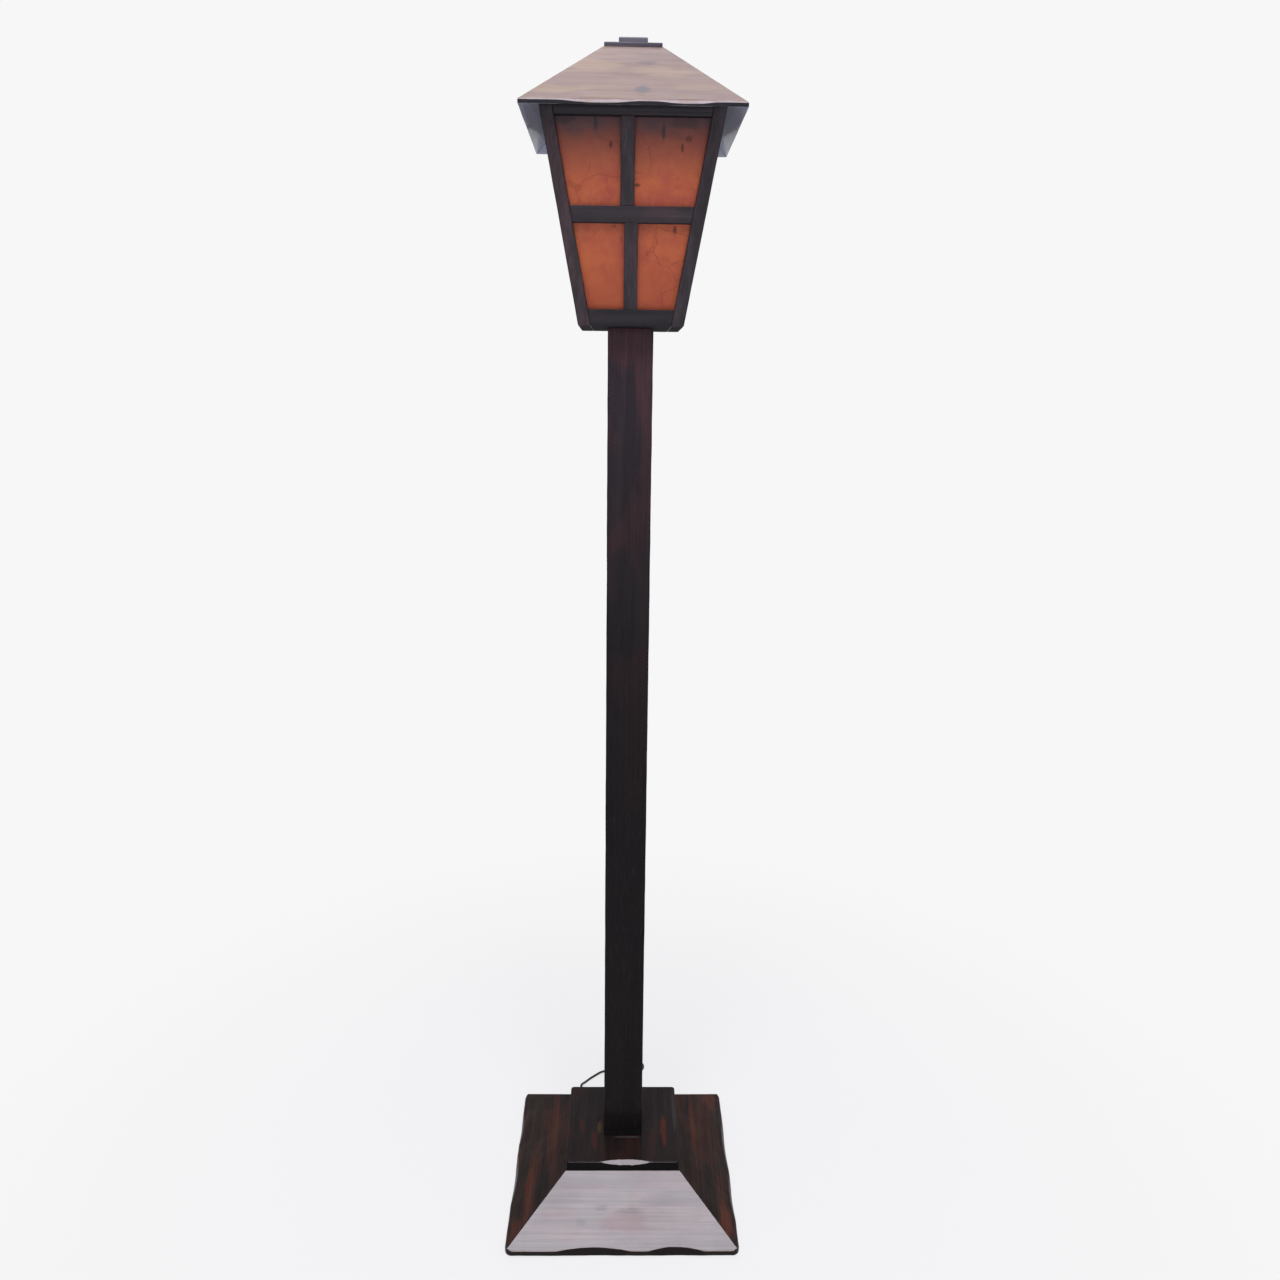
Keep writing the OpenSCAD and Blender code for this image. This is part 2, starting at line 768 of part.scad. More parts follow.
// Outline of the bulb's glass, from the neck round the globe to the crown
function glass_outline(inset) = concat(
    [[neck_r - inset, 0], [neck_r - inset, neck_h]],
    [for (a = [neck_angle : outline_step : crown_angle])
        [(bulb_r - inset) * cos(a), bulb_glass_h - bulb_r + (bulb_r - inset) * sin(a)]],
    [[0, bulb_glass_h - inset]]
);

module bulb_glass() {
    color(GLASS) translate([0, 0, glass_z]) rotate_extrude() difference() {
        polygon(concat([[0, 0]], glass_outline(0)));
        polygon(concat([[0, -CUT], [neck_r - bulb_wall, -CUT]], glass_outline(bulb_wall)));
    }
}

// ---------------------------------------------------------------- roof

module roof_board(side) {
    outline = [
        [eave_half, eave_z - eave_edge_h], [eave_half, eave_z],
        [roof_top_half, roof_top_z], [roof_under_r(roof_top_z), roof_top_z]
    ];
    color(ROOF_WOOD) rotate([0, 0, 90 * side]) difference() {
        intersection() {
            front_moulding(outline, eave_w);
            front_wedge(eave_half + CUT, eave_z - 2 * eave_edge_h, roof_top_z + CUT);
        }
        gouges(eave_gouges[side], [eave_half, eave_z], eave_gouge_tilt);
    }
}

// Four battens mitred into a ring, with their outer faces planed to the boards
module roof_frame() {
    ledge_z = roof_under_z(batten_inner + batten_ledge);
    outline = [
        [batten_inner, batten_z], [batten_outer, batten_z],
        [batten_outer, roof_under_z(batten_outer)],
        [batten_inner + batten_ledge, ledge_z], [batten_inner, ledge_z]
    ];
    color(RAW_WOOD) for (side = [0 : 3]) rotate([0, 0, 90 * side]) intersection() {
        front_moulding(outline, eave_w);
        front_wedge(eave_half, eave_z, roof_top_z);
    }
}

module king_block() {
    low = roof_under_r(king_z);
    high = roof_under_r(roof_top_z);
    color(RAW_WOOD) difference() {
        leaning_bar([-low, -low, low, low], [-high, -high, high, high], king_z, roof_top_z);
        cap_screw_place() screw_hole(cap_screw_l);
    }
}

module cap_screw_place() {
    translate([0, 0, king_z]) rotate([180, 0, 0]) children();
}

module cap_plate() {
    color(BLACK_WOOD) difference() {
        translate([-cap_plate_w / 2, -cap_plate_w / 2, roof_top_z])
            cube([cap_plate_w, cap_plate_w, cap_plate_t]);
        cap_screw_place() screw_hole(cap_screw_l);
    }
}

module cap_block() {
    color(BLACK_WOOD) difference() {
        translate([-cap_block_w / 2, -cap_block_w / 2, cap_block_z])
            cube([cap_block_w, cap_block_w, cap_block_h]);
        cap_screw_place() screw_hole(cap_screw_l);
    }
}

module cap_screw() {
    color(STEEL) cap_screw_place() screw(cap_screw_l);
}

// ---------------------------------------------------------------- free lead

module lead_to_switch() {
    color(DARK_PLASTIC) lead_tube([for (p = arc_route) from_gland(p)], lead_r);
}

module lead_to_coil() {
    color(DARK_PLASTIC) lead_tube([for (p = turn_route) from_gland(p)], lead_r);
}

module lead_tail() {
    color(DARK_PLASTIC) lead_tube([for (p = tail_route) from_gland(p)], lead_r);
}

module lead_coil() {
    color(DARK_PLASTIC) translate(coil_pos) rotate_extrude()
        translate([coil_inner_r, 0]) square([coil_outer_r - coil_inner_r, coil_h]);
}

// A strap round the coil's turns on its left side
module coil_tie() {
    across = coil_outer_r - coil_inner_r + 2 * tie_slack;
    middle = (coil_outer_r + coil_inner_r) / 2;
    color(DARK_PLASTIC) translate([coil_pos.x - middle, coil_pos.y, coil_pos.z + coil_h / 2])
        difference() {
            cube([across + 2 * tie_t, tie_w, coil_h + 2 * tie_t], center = true);
            cube([across, tie_w + 2 * CUT, coil_h], center = true);
        }
}

// ---------------------------------------------------------------- switch and plug

module switch_base() {
    color(DARK_PLASTIC) translate(switch_pos) difference() {
        switch_block(0, switch_split_z);
        translate([-switch_inner_l / 2, -switch_inner_w / 2, switch_wall])
            cube([switch_inner_l, switch_inner_w, switch_split_z]);
        lead_notches();
    }
}

// The cover has the rocker's window, and an ear each side of it for the rocker's pins
module switch_cover() {
    color(DARK_PLASTIC) translate(switch_pos) difference() {
        union() {
            difference() {
                switch_block(switch_split_z, switch_h - switch_split_z);
                translate([-switch_inner_l / 2, -switch_inner_w / 2, 0])
                    cube([switch_inner_l, switch_inner_w, switch_h - switch_wall]);
            }
            translate([-ear_l / 2, -switch_inner_w / 2 - EPS, switch_h - switch_wall - ear_h])
                cube([ear_l, switch_inner_w + 2 * EPS, ear_h + EPS]);
        }
        translate([-window_l / 2, -window_w / 2, switch_split_z - CUT])
            cube([window_l, window_w, switch_h]);
        translate([0, 0, rocker_axis_z]) rotate([90, 0, 0])
            cylinder(h = switch_inner_w, r = rocker_pin_r + pin_play, center = true);
        lead_notches();
    }
}

module switch_block(z, h) {
    side = switch_corner_r * 2;
    translate([0, 0, z]) linear_extrude(h) {
        square([switch_l - side, switch_w], center = true);
        square([switch_l, switch_w - side], center = true);
        for (x = [-1, 1], y = [-1, 1])
            translate([x * (switch_l - side) / 2, y * (switch_w - side) / 2])
                circle(switch_corner_r);
    }
}

module lead_notches() {
    translate([0, 0, lead_in_z]) rotate([0, 90, 0])
        cylinder(h = switch_l + 2 * CUT, r = lead_r + hole_play, center = true);
}

module switch_rocker() {
    outline = [
        [-rocker_l / 2, -rocker_under], [rocker_l / 2, -rocker_under],
        [rocker_l / 2, rocker_end_up], [0, rocker_middle_up], [-rocker_l / 2, rocker_end_up]
    ];
    color(DARK_PLASTIC) translate([switch_pos.x, switch_pos.y, rocker_axis_z])
        rotate([0, -rocker_rest, 0]) union() {
            rotate([90, 0, 0]) linear_extrude(rocker_w, center = true) polygon(outline);
            rotate([90, 0, 0])
                cylinder(h = rocker_w + 2 * rocker_pin_l, r = rocker_pin_r, center = true);
        }
}

module plug_body() {
    outline = [
        [-plug_neck_w / 2, 0], [plug_neck_w / 2, 0], [plug_w / 2, plug_nose_l],
        [plug_w / 2, plug_l], [-plug_w / 2, plug_l], [-plug_w / 2, plug_nose_l]
    ];
    color(DARK_PLASTIC) {
        translate(plug_pos) rotate([-90, 0, 0])
            cylinder(h = plug_sleeve_l + EPS, r1 = plug_sleeve_tip_r, r2 = plug_sleeve_foot_r);
        translate([plug_pos.x, plug_body_y, plug_pos.z - plug_t / 2])
            linear_extrude(plug_t) polygon(outline);
    }
}

module plug_pins() {
    straight = pin_l - pin_d / 2;
    color(BRASS) for (s = [-1, 1])
        translate([plug_pos.x + s * pin_gap / 2, plug_body_y + plug_l, plug_pos.z])
            rotate([-90, 0, 0]) {
                cylinder(h = straight, d = pin_d);
                translate([0, 0, straight - EPS]) intersection() {
                    sphere(d = pin_d);
                    cylinder(h = pin_d, d = pin_d);
                }
            }
}

// ---------------------------------------------------------------- nodes

front_base_board();
right_base_board();
back_base_board();
left_base_board();
base_plate();
base_core();
corner_blocks();
base_panel();
wood_screws();
felt_pads();
tenon_dowels();
post();
cord_gland();
inner_lead();
corner_post(0);  // front_left_post
corner_post(1);  // front_right_post
corner_post(2);  // back_right_post
corner_post(3);  // back_left_post
bottom_rail(0);  // front_bottom_rail
bottom_rail(1);  // right_bottom_rail
bottom_rail(2);  // back_bottom_rail
bottom_rail(3);  // left_bottom_rail
top_rail(0);  // front_top_rail
top_rail(1);  // right_top_rail
top_rail(2);  // back_top_rail
top_rail(3);  // left_top_rail
muntins(0);  // front_muntins
muntins(1);  // right_muntins
muntins(2);  // back_muntins
muntins(3);  // left_muntins
pane(0);  // front_pane
pane(1);  // right_pane
pane(2);  // back_pane
pane(3);  // left_pane
pane_beads();
lantern_floor();
holder_body();
holder_skirt();
holder_contacts();
bulb_glass();
bulb_cap();
roof_board(0);  // front_roof_board
roof_board(1);  // right_roof_board
roof_board(2);  // back_roof_board
roof_board(3);  // left_roof_board
roof_frame();
king_block();
cap_plate();
cap_block();
cap_screw();
lead_to_switch();
lead_to_coil();
lead_coil();
lead_tail();
coil_tie();
switch_base();
switch_cover();
switch_rocker();
plug_body();
plug_pins();
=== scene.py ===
import math

import bpy
import numpy as np
from mathutils import Matrix, Vector, noise


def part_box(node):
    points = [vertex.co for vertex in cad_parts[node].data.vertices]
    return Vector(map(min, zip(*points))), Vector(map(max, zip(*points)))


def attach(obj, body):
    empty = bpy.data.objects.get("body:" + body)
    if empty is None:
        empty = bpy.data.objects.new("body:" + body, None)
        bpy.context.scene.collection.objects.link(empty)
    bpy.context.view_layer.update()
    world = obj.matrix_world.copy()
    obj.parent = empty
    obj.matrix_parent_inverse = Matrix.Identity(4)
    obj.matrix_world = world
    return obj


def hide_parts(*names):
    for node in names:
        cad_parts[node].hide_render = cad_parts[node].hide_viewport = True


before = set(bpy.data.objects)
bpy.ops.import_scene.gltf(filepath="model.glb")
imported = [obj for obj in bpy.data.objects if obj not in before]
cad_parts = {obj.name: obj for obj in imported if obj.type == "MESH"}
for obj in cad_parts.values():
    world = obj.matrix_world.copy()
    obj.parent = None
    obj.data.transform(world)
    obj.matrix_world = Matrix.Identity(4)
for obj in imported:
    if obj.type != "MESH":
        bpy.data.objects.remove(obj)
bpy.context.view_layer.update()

# A floor lamp of dark stained, varnished timber: a tapering lantern with amber panes under a
# hipped roof, on a square post, on a hipped base. Metres, +Z up, the front looks to -Y.
# Sides: 0 front, 1 right, 2 back, 3 left.

# ---------------- camera

CAMERA_PLACE = (-0.008233, -1.43078, 1.25439)
CAMERA_DOWN = math.radians(13.882)
CAMERA_RIGHT = math.radians(1.0509)
CAMERA_ROLL = math.radians(0.7315)
FOCAL_PIXELS = 1023.04
FRAME_PIXELS = 1280
SENSOR_MM = 36
CAMERA_FAR = 60


def new_object(name, data):
    """An object in the scene that shows a mesh, lamp or camera."""
    thing = bpy.data.objects.new(name, data)
    bpy.context.scene.collection.objects.link(thing)
    return thing


def make_camera():
    """A camera that looks down and slightly to the right, with a slight roll."""
    s, c = math.sin(CAMERA_RIGHT), math.cos(CAMERA_RIGHT)
    sp, cp = math.sin(CAMERA_DOWN), math.cos(CAMERA_DOWN)
    forward = Vector((s * cp, c * cp, -sp))
    right = Vector((c, -s, 0))
    down = Vector((-s * sp, -c * sp, -cp))
    rolled_right = right * math.cos(CAMERA_ROLL) - down * math.sin(CAMERA_ROLL)
    rolled_down = right * math.sin(CAMERA_ROLL) + down * math.cos(CAMERA_ROLL)
    data = bpy.data.cameras.new("camera")
    data.sensor_width = SENSOR_MM
    data.lens = FOCAL_PIXELS / FRAME_PIXELS * SENSOR_MM
    data.clip_end = CAMERA_FAR
    camera = new_object("camera", data)
    turn = Matrix((rolled_right, -rolled_down, -forward)).transposed().to_4x4()
    camera.matrix_world = Matrix.Translation(CAMERA_PLACE) @ turn
    bpy.context.scene.camera = camera


make_camera()

# ---------------- lead

LEAD_D = 0.004
LEAD_SIDES = 10
STEPS_BETWEEN = 3
# The route's points in metres: to the switch, on to the coil, and from the coil to the plug
ARC_ROUTE = [
    (-0.0755, 0.189, 0.011), (-0.0755, 0.191, 0.011), (-0.0754, 0.195, 0.0106),
    (-0.0746, 0.2005, 0.0089), (-0.0723, 0.207, 0.006), (-0.069, 0.2135, 0.0035),
    (-0.0645, 0.2205, 0.0022), (-0.059, 0.227, 0.002), (-0.0525, 0.2325, 0.0026),
    (-0.0455, 0.2368, 0.0043), (-0.039, 0.2393, 0.0061), (-0.033, 0.240, 0.007),
    (-0.030, 0.240, 0.007), (-0.020, 0.240, 0.007), (-0.007, 0.240, 0.007), (0.006, 0.240, 0.007)
]
TURN_ROUTE = [
    (0.019, 0.240, 0.007), (0.026, 0.2411, 0.0065), (0.0325, 0.245, 0.005),
    (0.037, 0.251, 0.0032), (0.039, 0.2585, 0.0023), (0.038, 0.2665, 0.0021),
    (0.035, 0.2737, 0.0023), (0.0315, 0.280, 0.0027)
]
TAIL_ROUTE = [
    (0.0335, 0.294, 0.0146), (0.032, 0.301, 0.0137), (0.0295, 0.308, 0.0124),
    (0.0262, 0.3152, 0.0105), (0.0228, 0.322, 0.0086), (0.0205, 0.3285, 0.0073),
    (0.020, 0.333, 0.007), (0.020, 0.343, 0.007)
]
COIL_CENTRE = (0.002, 0.287)
# Each turn's radius in millimetres, and the layer that it lies in
COIL_LANES = [28, 24, 20, 20, 24, 28, 28, 24, 24, 28, 32]
COIL_LAYERS = [0, 0, 0, 1, 1, 1, 2, 2, 3, 3, 3]
COIL_FLOOR_Z = 0.003
POINTS_PER_TURN = 24
# A turn passes to the next lane or layer over the last part of its way round
CHANGE_FROM = 0.6
# How far a turn that climbs swings clear of its neighbours: inwards from the inner lanes
CLIMB_SWING = 0.0014
INNER_LANES = 0.026


def coil_points():
    """The coil's turns, from where the lead comes in on its right side."""
    points = []
    for turn in range(len(COIL_LANES) - 1):
        r0, r1 = COIL_LANES[turn] / 1000, COIL_LANES[turn + 1] / 1000
        z0, z1 = COIL_LAYERS[turn] * LEAD_D, COIL_LAYERS[turn + 1] * LEAD_D
        outward = -1 if r0 < INNER_LANES else 1
        for k in range(POINTS_PER_TURN):
            t = k / POINTS_PER_TURN
            s = max(0.0, (t - CHANGE_FROM) / (1 - CHANGE_FROM))
            ease = 0.5 - 0.5 * math.cos(math.pi * s)
            swing = CLIMB_SWING * outward * math.sin(math.pi * s) ** 2 if z1 > z0 else 0
            r = r0 + (r1 - r0) * ease + swing
            a = 2 * math.pi * t
            points.append((
                COIL_CENTRE[0] + r * math.cos(a), COIL_CENTRE[1] + r * math.sin(a),
                COIL_FLOOR_Z + z0 + (z1 - z0) * ease
            ))
    points.append((COIL_CENTRE[0] + COIL_LANES[-1] / 1000, COIL_CENTRE[1],
                   COIL_FLOOR_Z + COIL_LAYERS[-1] * LEAD_D))
    return points


def smooth_line(points, steps):
    """Points on a smooth curve through the given ones."""
    p = [Vector(q) for q in points]
    p = [p[0] * 2 - p[1]] + p + [p[-1] * 2 - p[-2]]
    line = []
    for i in range(1, len(p) - 2):
        a, b, c, d = p[i - 1:i + 3]
        for k in range(steps):
            t = k / steps
            line.append(0.5 * (
                2 * b + (c - a) * t + (2 * a - 5 * b + 4 * c - d) * t * t
                + (3 * b - a - 3 * c + d) * t ** 3
            ))
    line.append(p[-2])
    return line


def tube(line, radius, count):
    """A round tube along a line, closed at both ends: its points and faces."""
    points, faces = [], []
    side = Vector((0, 0, 1))
    for i, p in enumerate(line):
        ahead = (line[min(i + 1, len(line) - 1)] - line[max(i - 1, 0)]).normalized()
        side = (side - ahead * side.dot(ahead)).normalized()
        across = ahead.cross(side)
        for k in range(count):
            a = 2 * math.pi * k / count
            points.append(p + (side * math.cos(a) + across * math.sin(a)) * radius)
    for i in range(len(line) - 1):
        for k in range(count):
            a, b = i * count + k, i * count + (k + 1) % count
            faces.append((a, b, b + count, a + count))
    faces.append(tuple(reversed(range(count))))
    faces.append(tuple(range(len(points) - count, len(points))))
    return points, faces


def make_lead():
    """The whole free lead as one tube, from the gland to inside the plug."""
    line = smooth_line(ARC_ROUTE + TURN_ROUTE + coil_points() + TAIL_ROUTE, STEPS_BETWEEN)
    points, faces = tube(line, LEAD_D / 2, LEAD_SIDES)
    mesh = bpy.data.meshes.new("lead")
    mesh.from_pydata(points, [], faces)
    for polygon in mesh.polygons:
        polygon.use_smooth = len(polygon.vertices) == 4
    lead = new_object("lead", mesh)
    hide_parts("lead_to_switch", "lead_to_coil", "lead_coil", "lead_tail")
    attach(lead, "lamp")
    return lead


lead = make_lead()

# ---------------- shader helpers


def linear(r, g, b):
    """A colour given as 0 to 255 screen values, as the shader needs it."""
    out = []
    for v in (r, g, b):
        v = v / 255
        out.append(v / 12.92 if v <= 0.04045 else ((v + 0.055) / 1.055) ** 2.4)
    return (*out, 1)


class Nodes:
    """Short ways to add and join shader nodes in one tree."""

    def __init__(self, tree):
        self.tree = tree

    def add(self, kind, **settings):
        node = self.tree.nodes.new(kind)
        for name, value in settings.items():
            setattr(node, name, value)
        return node

    def put(self, value, socket):
        """Joins a socket to another, or sets its own value."""
        if isinstance(value, bpy.types.NodeSocket):
            self.tree.links.new(value, socket)
        elif value is not None:
            socket.default_value = value

    def fill(self, sockets, **values):
        """Joins or sets sockets by their names, with _ for a space."""
        for name, value in values.items():
            self.put(value, sockets[name.replace("_", " ")])

    def math(self, operation, a, b=None, clamp=False):
        node = self.add("ShaderNodeMath", operation=operation, use_clamp=clamp)
        self.put(a, node.inputs[0])
        self.put(b, node.inputs[1])
        return node.outputs[0]

    def times(self, a, b):
        return self.math("MULTIPLY", a, b)

    def plus(self, a, b):
        return self.math("ADD", a, b)

    def centred(self, value):
        """A noise's value, moved to lie round zero."""
        return self.math("SUBTRACT", value, 0.5)

    def vector(self, operation, a, b=None):
        node = self.add("ShaderNodeVectorMath", operation=operation)
        self.put(a, node.inputs[0])
        self.put(b, node.inputs["Scale" if operation == "SCALE" else 1])
        return node.outputs["Value" if operation == "LENGTH" else "Vector"]

    def noise(self, vector, scale, detail=2.0, rough=0.5, distortion=0.0):
        node = self.add("ShaderNodeTexNoise")
        self.fill(node.inputs, Vector=vector, Scale=scale, Detail=detail, Roughness=rough,
                  Distortion=distortion)
        return node.outputs["Fac"]

    def span(self, value, low, high, to_low=0.0, to_high=1.0):
        """A value's part between low and high, eased, as to_low to to_high."""
        node = self.add("ShaderNodeMapRange", interpolation_type="SMOOTHSTEP")
        for socket, v in zip(node.inputs, (value, low, high, to_low, to_high)):
            self.put(v, socket)
        return node.outputs["Result"]

    def mix(self, factor, a, b):
        node = self.add("ShaderNodeMix", data_type="RGBA")
        self.put(factor, node.inputs["Factor"])
        self.put(a, node.inputs[6])
        self.put(b, node.inputs[7])
        return node.outputs[2]

    def less(self, value, mask, part):
        """A value with a part of it taken away where the mask is."""
        return self.times(value, self.math("SUBTRACT", 1.0, self.times(mask, part)))

    def bump(self, height, strength, distance):
        node = self.add("ShaderNodeBump")
        self.fill(node.inputs, Strength=strength, Distance=distance, Height=height)
        return node.outputs["Normal"]

    def place(self):
        return self.add("ShaderNodeTexCoord").outputs["Object"]

    def apart(self, vector):
        node = self.add("ShaderNodeSeparateXYZ")
        self.put(vector, node.inputs[0])
        return node.outputs


def new_group(name, inputs, outputs):
    """An empty shader node group with named sockets; returns it, its nodes and its two ends."""
    group = bpy.data.node_groups.new(name, "ShaderNodeTree")
    for socket_name, kind, value in inputs:
        socket = group.interface.new_socket(socket_name, in_out="INPUT", socket_type=kind)
        if value is not None:
            socket.default_value = value
    for socket_name, kind in outputs:
        group.interface.new_socket(socket_name, in_out="OUTPUT", socket_type=kind)
    n = Nodes(group)
    return group, n, n.add("NodeGroupInput").outputs, n.add("NodeGroupOutput").inputs


VALUE, VECTOR = "NodeSocketFloat", "NodeSocketVector"
# How far the grain sways sideways, in metres
GRAIN_WAVE = 0.004
# How much a noise moves the outline of a mark
MARK_FRAY = 1.6


def make_grain_group():
    """Timber grain along x: pores, fine lines, streaks, stain patches and their relief."""
    outputs = [(name, VALUE) for name in ("Pores", "Lines", "Streaks", "Patches", "Relief")]
    group, n, i, o = new_group("timber_grain", [("Vector", VECTOR, None)], outputs)
    sway = n.noise(n.vector("MULTIPLY", i["Vector"], (3, 9, 9)), 1.0, 1.0)
    amount = n.times(n.centred(sway), GRAIN_WAVE)
    shift = n.add("ShaderNodeCombineXYZ")
    n.fill(shift.inputs, Y=amount, Z=amount)
    vector = n.vector("ADD", i["Vector"], shift.outputs[0])
    pores = n.noise(n.vector("MULTIPLY", vector, (45, 1600, 1600)), 1.0, 1.0, 0.5)
    lines = n.noise(n.vector("MULTIPLY", vector, (6, 420, 420)), 1.0, 2.0, 0.6)
    streaks = n.noise(n.vector("MULTIPLY", vector, (3.5, 75, 75)), 1.0, 3.0, 0.55)
    patches = n.noise(n.vector("MULTIPLY", vector, (8, 26, 26)), 1.0, 2.0, 0.5, 0.4)
    pits = n.span(pores, 0.6, 0.74)
    relief = n.plus(n.times(lines, 0.6), n.times(streaks, 0.5))
    n.fill(o, Pores=pits, Lines=n.span(lines, 0.36, 0.68), Streaks=n.span(streaks, 0.36, 0.66),
           Patches=n.span(patches, 0.46, 0.64),
           Relief=n.math("SUBTRACT", relief, n.times(pits, 0.25)))
    return group


def make_wear_group():
    """Rubbed arrises: the mesh's own wear value, broken up by fine noise."""
    group, n, i, o = new_group(
        "rubbed_arris", [("Vector", VECTOR, None), ("Amount", VALUE, 1.0)], [("Mask", VALUE)]
    )
    wear = n.add("ShaderNodeAttribute", attribute_name="wear").outputs["Fac"]
    spots = n.times(n.centred(n.noise(i["Vector"], 60.0, 3.0, 0.6)), 1.1)
    n.put(n.span(n.times(n.plus(wear, spots), i["Amount"]), 0.5, 1.2), o["Mask"])
    return group


def make_facing_group():
    """Faces that are left off the varnishing, on which timber also lays painted shade: upright
    ones, such as boards' sawn edges, and sloping or level undersides, which on the roof take a
    painted reflection instead."""
    group, n, i, o = new_group(
        "face_direction", [("Upright", VALUE, 0.52), ("Sloping", VALUE, 0.7)],
        [("Upright", VALUE), ("Under", VALUE), ("Level Under", VALUE)]
    )
    rise = n.apart(n.add("ShaderNodeTexCoord").outputs["Normal"])["Z"]
    n.fill(o, Upright=n.span(n.math("ABSOLUTE", rise), i["Upright"], i["Sloping"], 1.0, 0.0),
           Under=n.span(rise, -0.74, -0.55, 1.0, 0.0),
           Level_Under=n.span(rise, -0.97, -0.85, 1.0, 0.0))
    return group


def make_film_group():
    """A thin uneven film: dust, fingermarks and small specks."""
    group, n, i, o = new_group(
        "settled_film", [("Vector", VECTOR, None), ("Scale", VALUE, 1.0)],
        [("Film", VALUE), ("Specks", VALUE)]
    )
    scaled = n.vector("SCALE", i["Vector"], i["Scale"])
    n.put(n.span(n.noise(scaled, 14.0, 4.0, 0.65), 0.4, 0.7), o["Film"])
    n.put(n.span(n.noise(scaled, 900.0, 1.0, 0.4), 0.66, 0.76), o["Specks"])
    return group


def make_mark_group():
    """One soft-edged mark of a given size round a place, its outline made uneven by a noise."""
    group, n, i, o = new_group(
        "soft_mark",
        [("Vector", VECTOR, None), ("Centre", VECTOR, None), ("Size", VECTOR, None),
         ("Uneven", VALUE, 0.5)],
        [("Mask", VALUE)]
    )
    away = n.vector("DIVIDE", n.vector("SUBTRACT", i["Vector"], i["Centre"]), i["Size"])
    fray = n.times(n.centred(i["Uneven"]), MARK_FRAY)
    n.put(n.span(n.plus(n.vector("LENGTH", away), fray), 0.45, 1.1, 1.0, 0.0), o["Mask"])
    return group


GRAIN, WEAR, FACING = make_grain_group(), make_wear_group(), make_facing_group()
FILM, MARK = make_film_group(), make_mark_group()


def start_material(name):
    """A material with its output and a Principled BSDF; returns it, its nodes and the shader."""
    material = bpy.data.materials.new(name)
    material.use_nodes = True
    tree = material.node_tree
    tree.nodes.clear()
    n = Nodes(tree)
    shader = n.add("ShaderNodeBsdfPrincipled")
    tree.links.new(shader.outputs[0], n.add("ShaderNodeOutputMaterial").inputs["Surface"])
    return material, n, shader


def use_group(n, group, **inputs):
    node = n.add("ShaderNodeGroup", node_tree=group)
    n.fill(node.inputs, **inputs)
    return node.outputs


def millimetres(*values):
    return tuple(v / 1000 for v in values)


def add_marks(n, colour, coat, place, uneven, marks):
    """Lays each mark's colour over the finish and dulls the varnish there."""
    for centre, size, tint, cover, dulling in marks:
        mask = use_group(n, MARK, Vector=place, Centre=millimetres(*centre),
                         Size=millimetres(*size), Uneven=uneven)["Mask"]
        colour = n.mix(n.times(mask, cover), colour, tint)
        coat = n.less(coat, mask, dulling)
    return colour, coat


VARNISH_IOR = 1.63
# The height in metres where the post's painted shade, darker towards the floor, has faded out
PAINTED_SHADE_BELOW = 1.3
# How the grain is turned to run along each axis
ALONG = {"x": (0, 0, 0), "y": (0, 0, -math.pi / 2), "z": (0, math.pi / 2, 0)}


def timber(name, along, dark, mid, red, worn, streak_mix=0.8, patch_mix=0.5, line_mix=0.45,
           rough=0.32, coat=1.0, coat_rough=0.1, level=0.5, relief=0.35, wear_amount=1.0,
           edge=None, painted_underside_light=None, varnished_from=(0.52, 0.7), line_dulling=0.25, marks=(),
           foot=None):
    """Stained and varnished timber whose grain runs along one axis. edge is the painted shade laid
    on upright faces, which have no varnish; undersides take a painted reflection where one is
    given, and else the same painted shade; varnished_from says between which slopes the varnish
    starts; foot is a long piece's painted shade near the floor, darker towards the bottom."""
    material, n, shader = start_material(name)
    place = n.place()
    turned_place = n.add("ShaderNodeMapping")
    n.fill(turned_place.inputs, Vector=place, Rotation=ALONG[along])
    vector = turned_place.outputs[0]
    grain = use_group(n, GRAIN, Vector=vector)
    wear = use_group(n, WEAR, Vector=vector, Amount=wear_amount)["Mask"]
    film = use_group(n, FILM, Vector=vector)
    colour = n.mix(n.times(grain["Streaks"], streak_mix), dark, mid)
    colour = n.mix(n.times(grain["Patches"], patch_mix), colour, red)
    colour = n.mix(n.times(grain["Lines"], line_mix), colour, dark)
    # Painted shade: the colour darkens towards the floor, fading out by that height.
    if foot:
        height = n.math("DIVIDE", n.apart(place)["Z"], PAINTED_SHADE_BELOW)
        steep = n.math("POWER", n.math("MAXIMUM", height, 0.0), 5.0)
        low = n.math("SUBTRACT", 1.0, steep, clamp=True)
        colour = n.mix(n.times(low, 0.95), colour, foot)
    colour = n.mix(n.times(grain["Pores"], 0.5), colour, dark)
    varnish = n.less(n.less(coat, grain["Lines"], line_dulling), film["Film"], 0.08)
    uneven = n.noise(n.vector("MULTIPLY", vector, (30, 170, 170)), 1.0, 3.0, 0.6)
    colour, varnish = add_marks(n, colour, varnish, place, uneven, marks)
    facing = use_group(n, FACING, Upright=varnished_from[0], Sloping=varnished_from[1])
    # Painted shade: upright faces and undersides take a near-black colour, as they look in shade;
    # the roof's undersides take a pale bluish painted reflection instead.
    if edge:
        wear = n.less(wear, facing["Upright"], 1.0)
        colour = n.mix(facing["Under"], n.mix(facing["Upright"], colour, edge), painted_underside_light or edge)
        varnish = n.less(varnish, facing["Upright"], 1.0)
    varnish = n.less(varnish, facing["Level Under"], 1.0)
    colour = n.mix(wear, colour, worn)
    roughness = n.plus(rough, n.times(grain["Lines"], 0.16))
    roughness = n.plus(roughness, n.times(film["Film"], 0.1))
    n.fill(
        shader.inputs, Base_Color=colour, Coat_Weight=n.less(varnish, wear, 0.4),
        Roughness=n.math("MAXIMUM", roughness, facing["Level Under"]),
        Coat_Roughness=coat_rough, Coat_IOR=VARNISH_IOR, Specular_IOR_Level=level,
        Normal=n.bump(grain["Relief"], relief, 0.0012)
    )
    return material
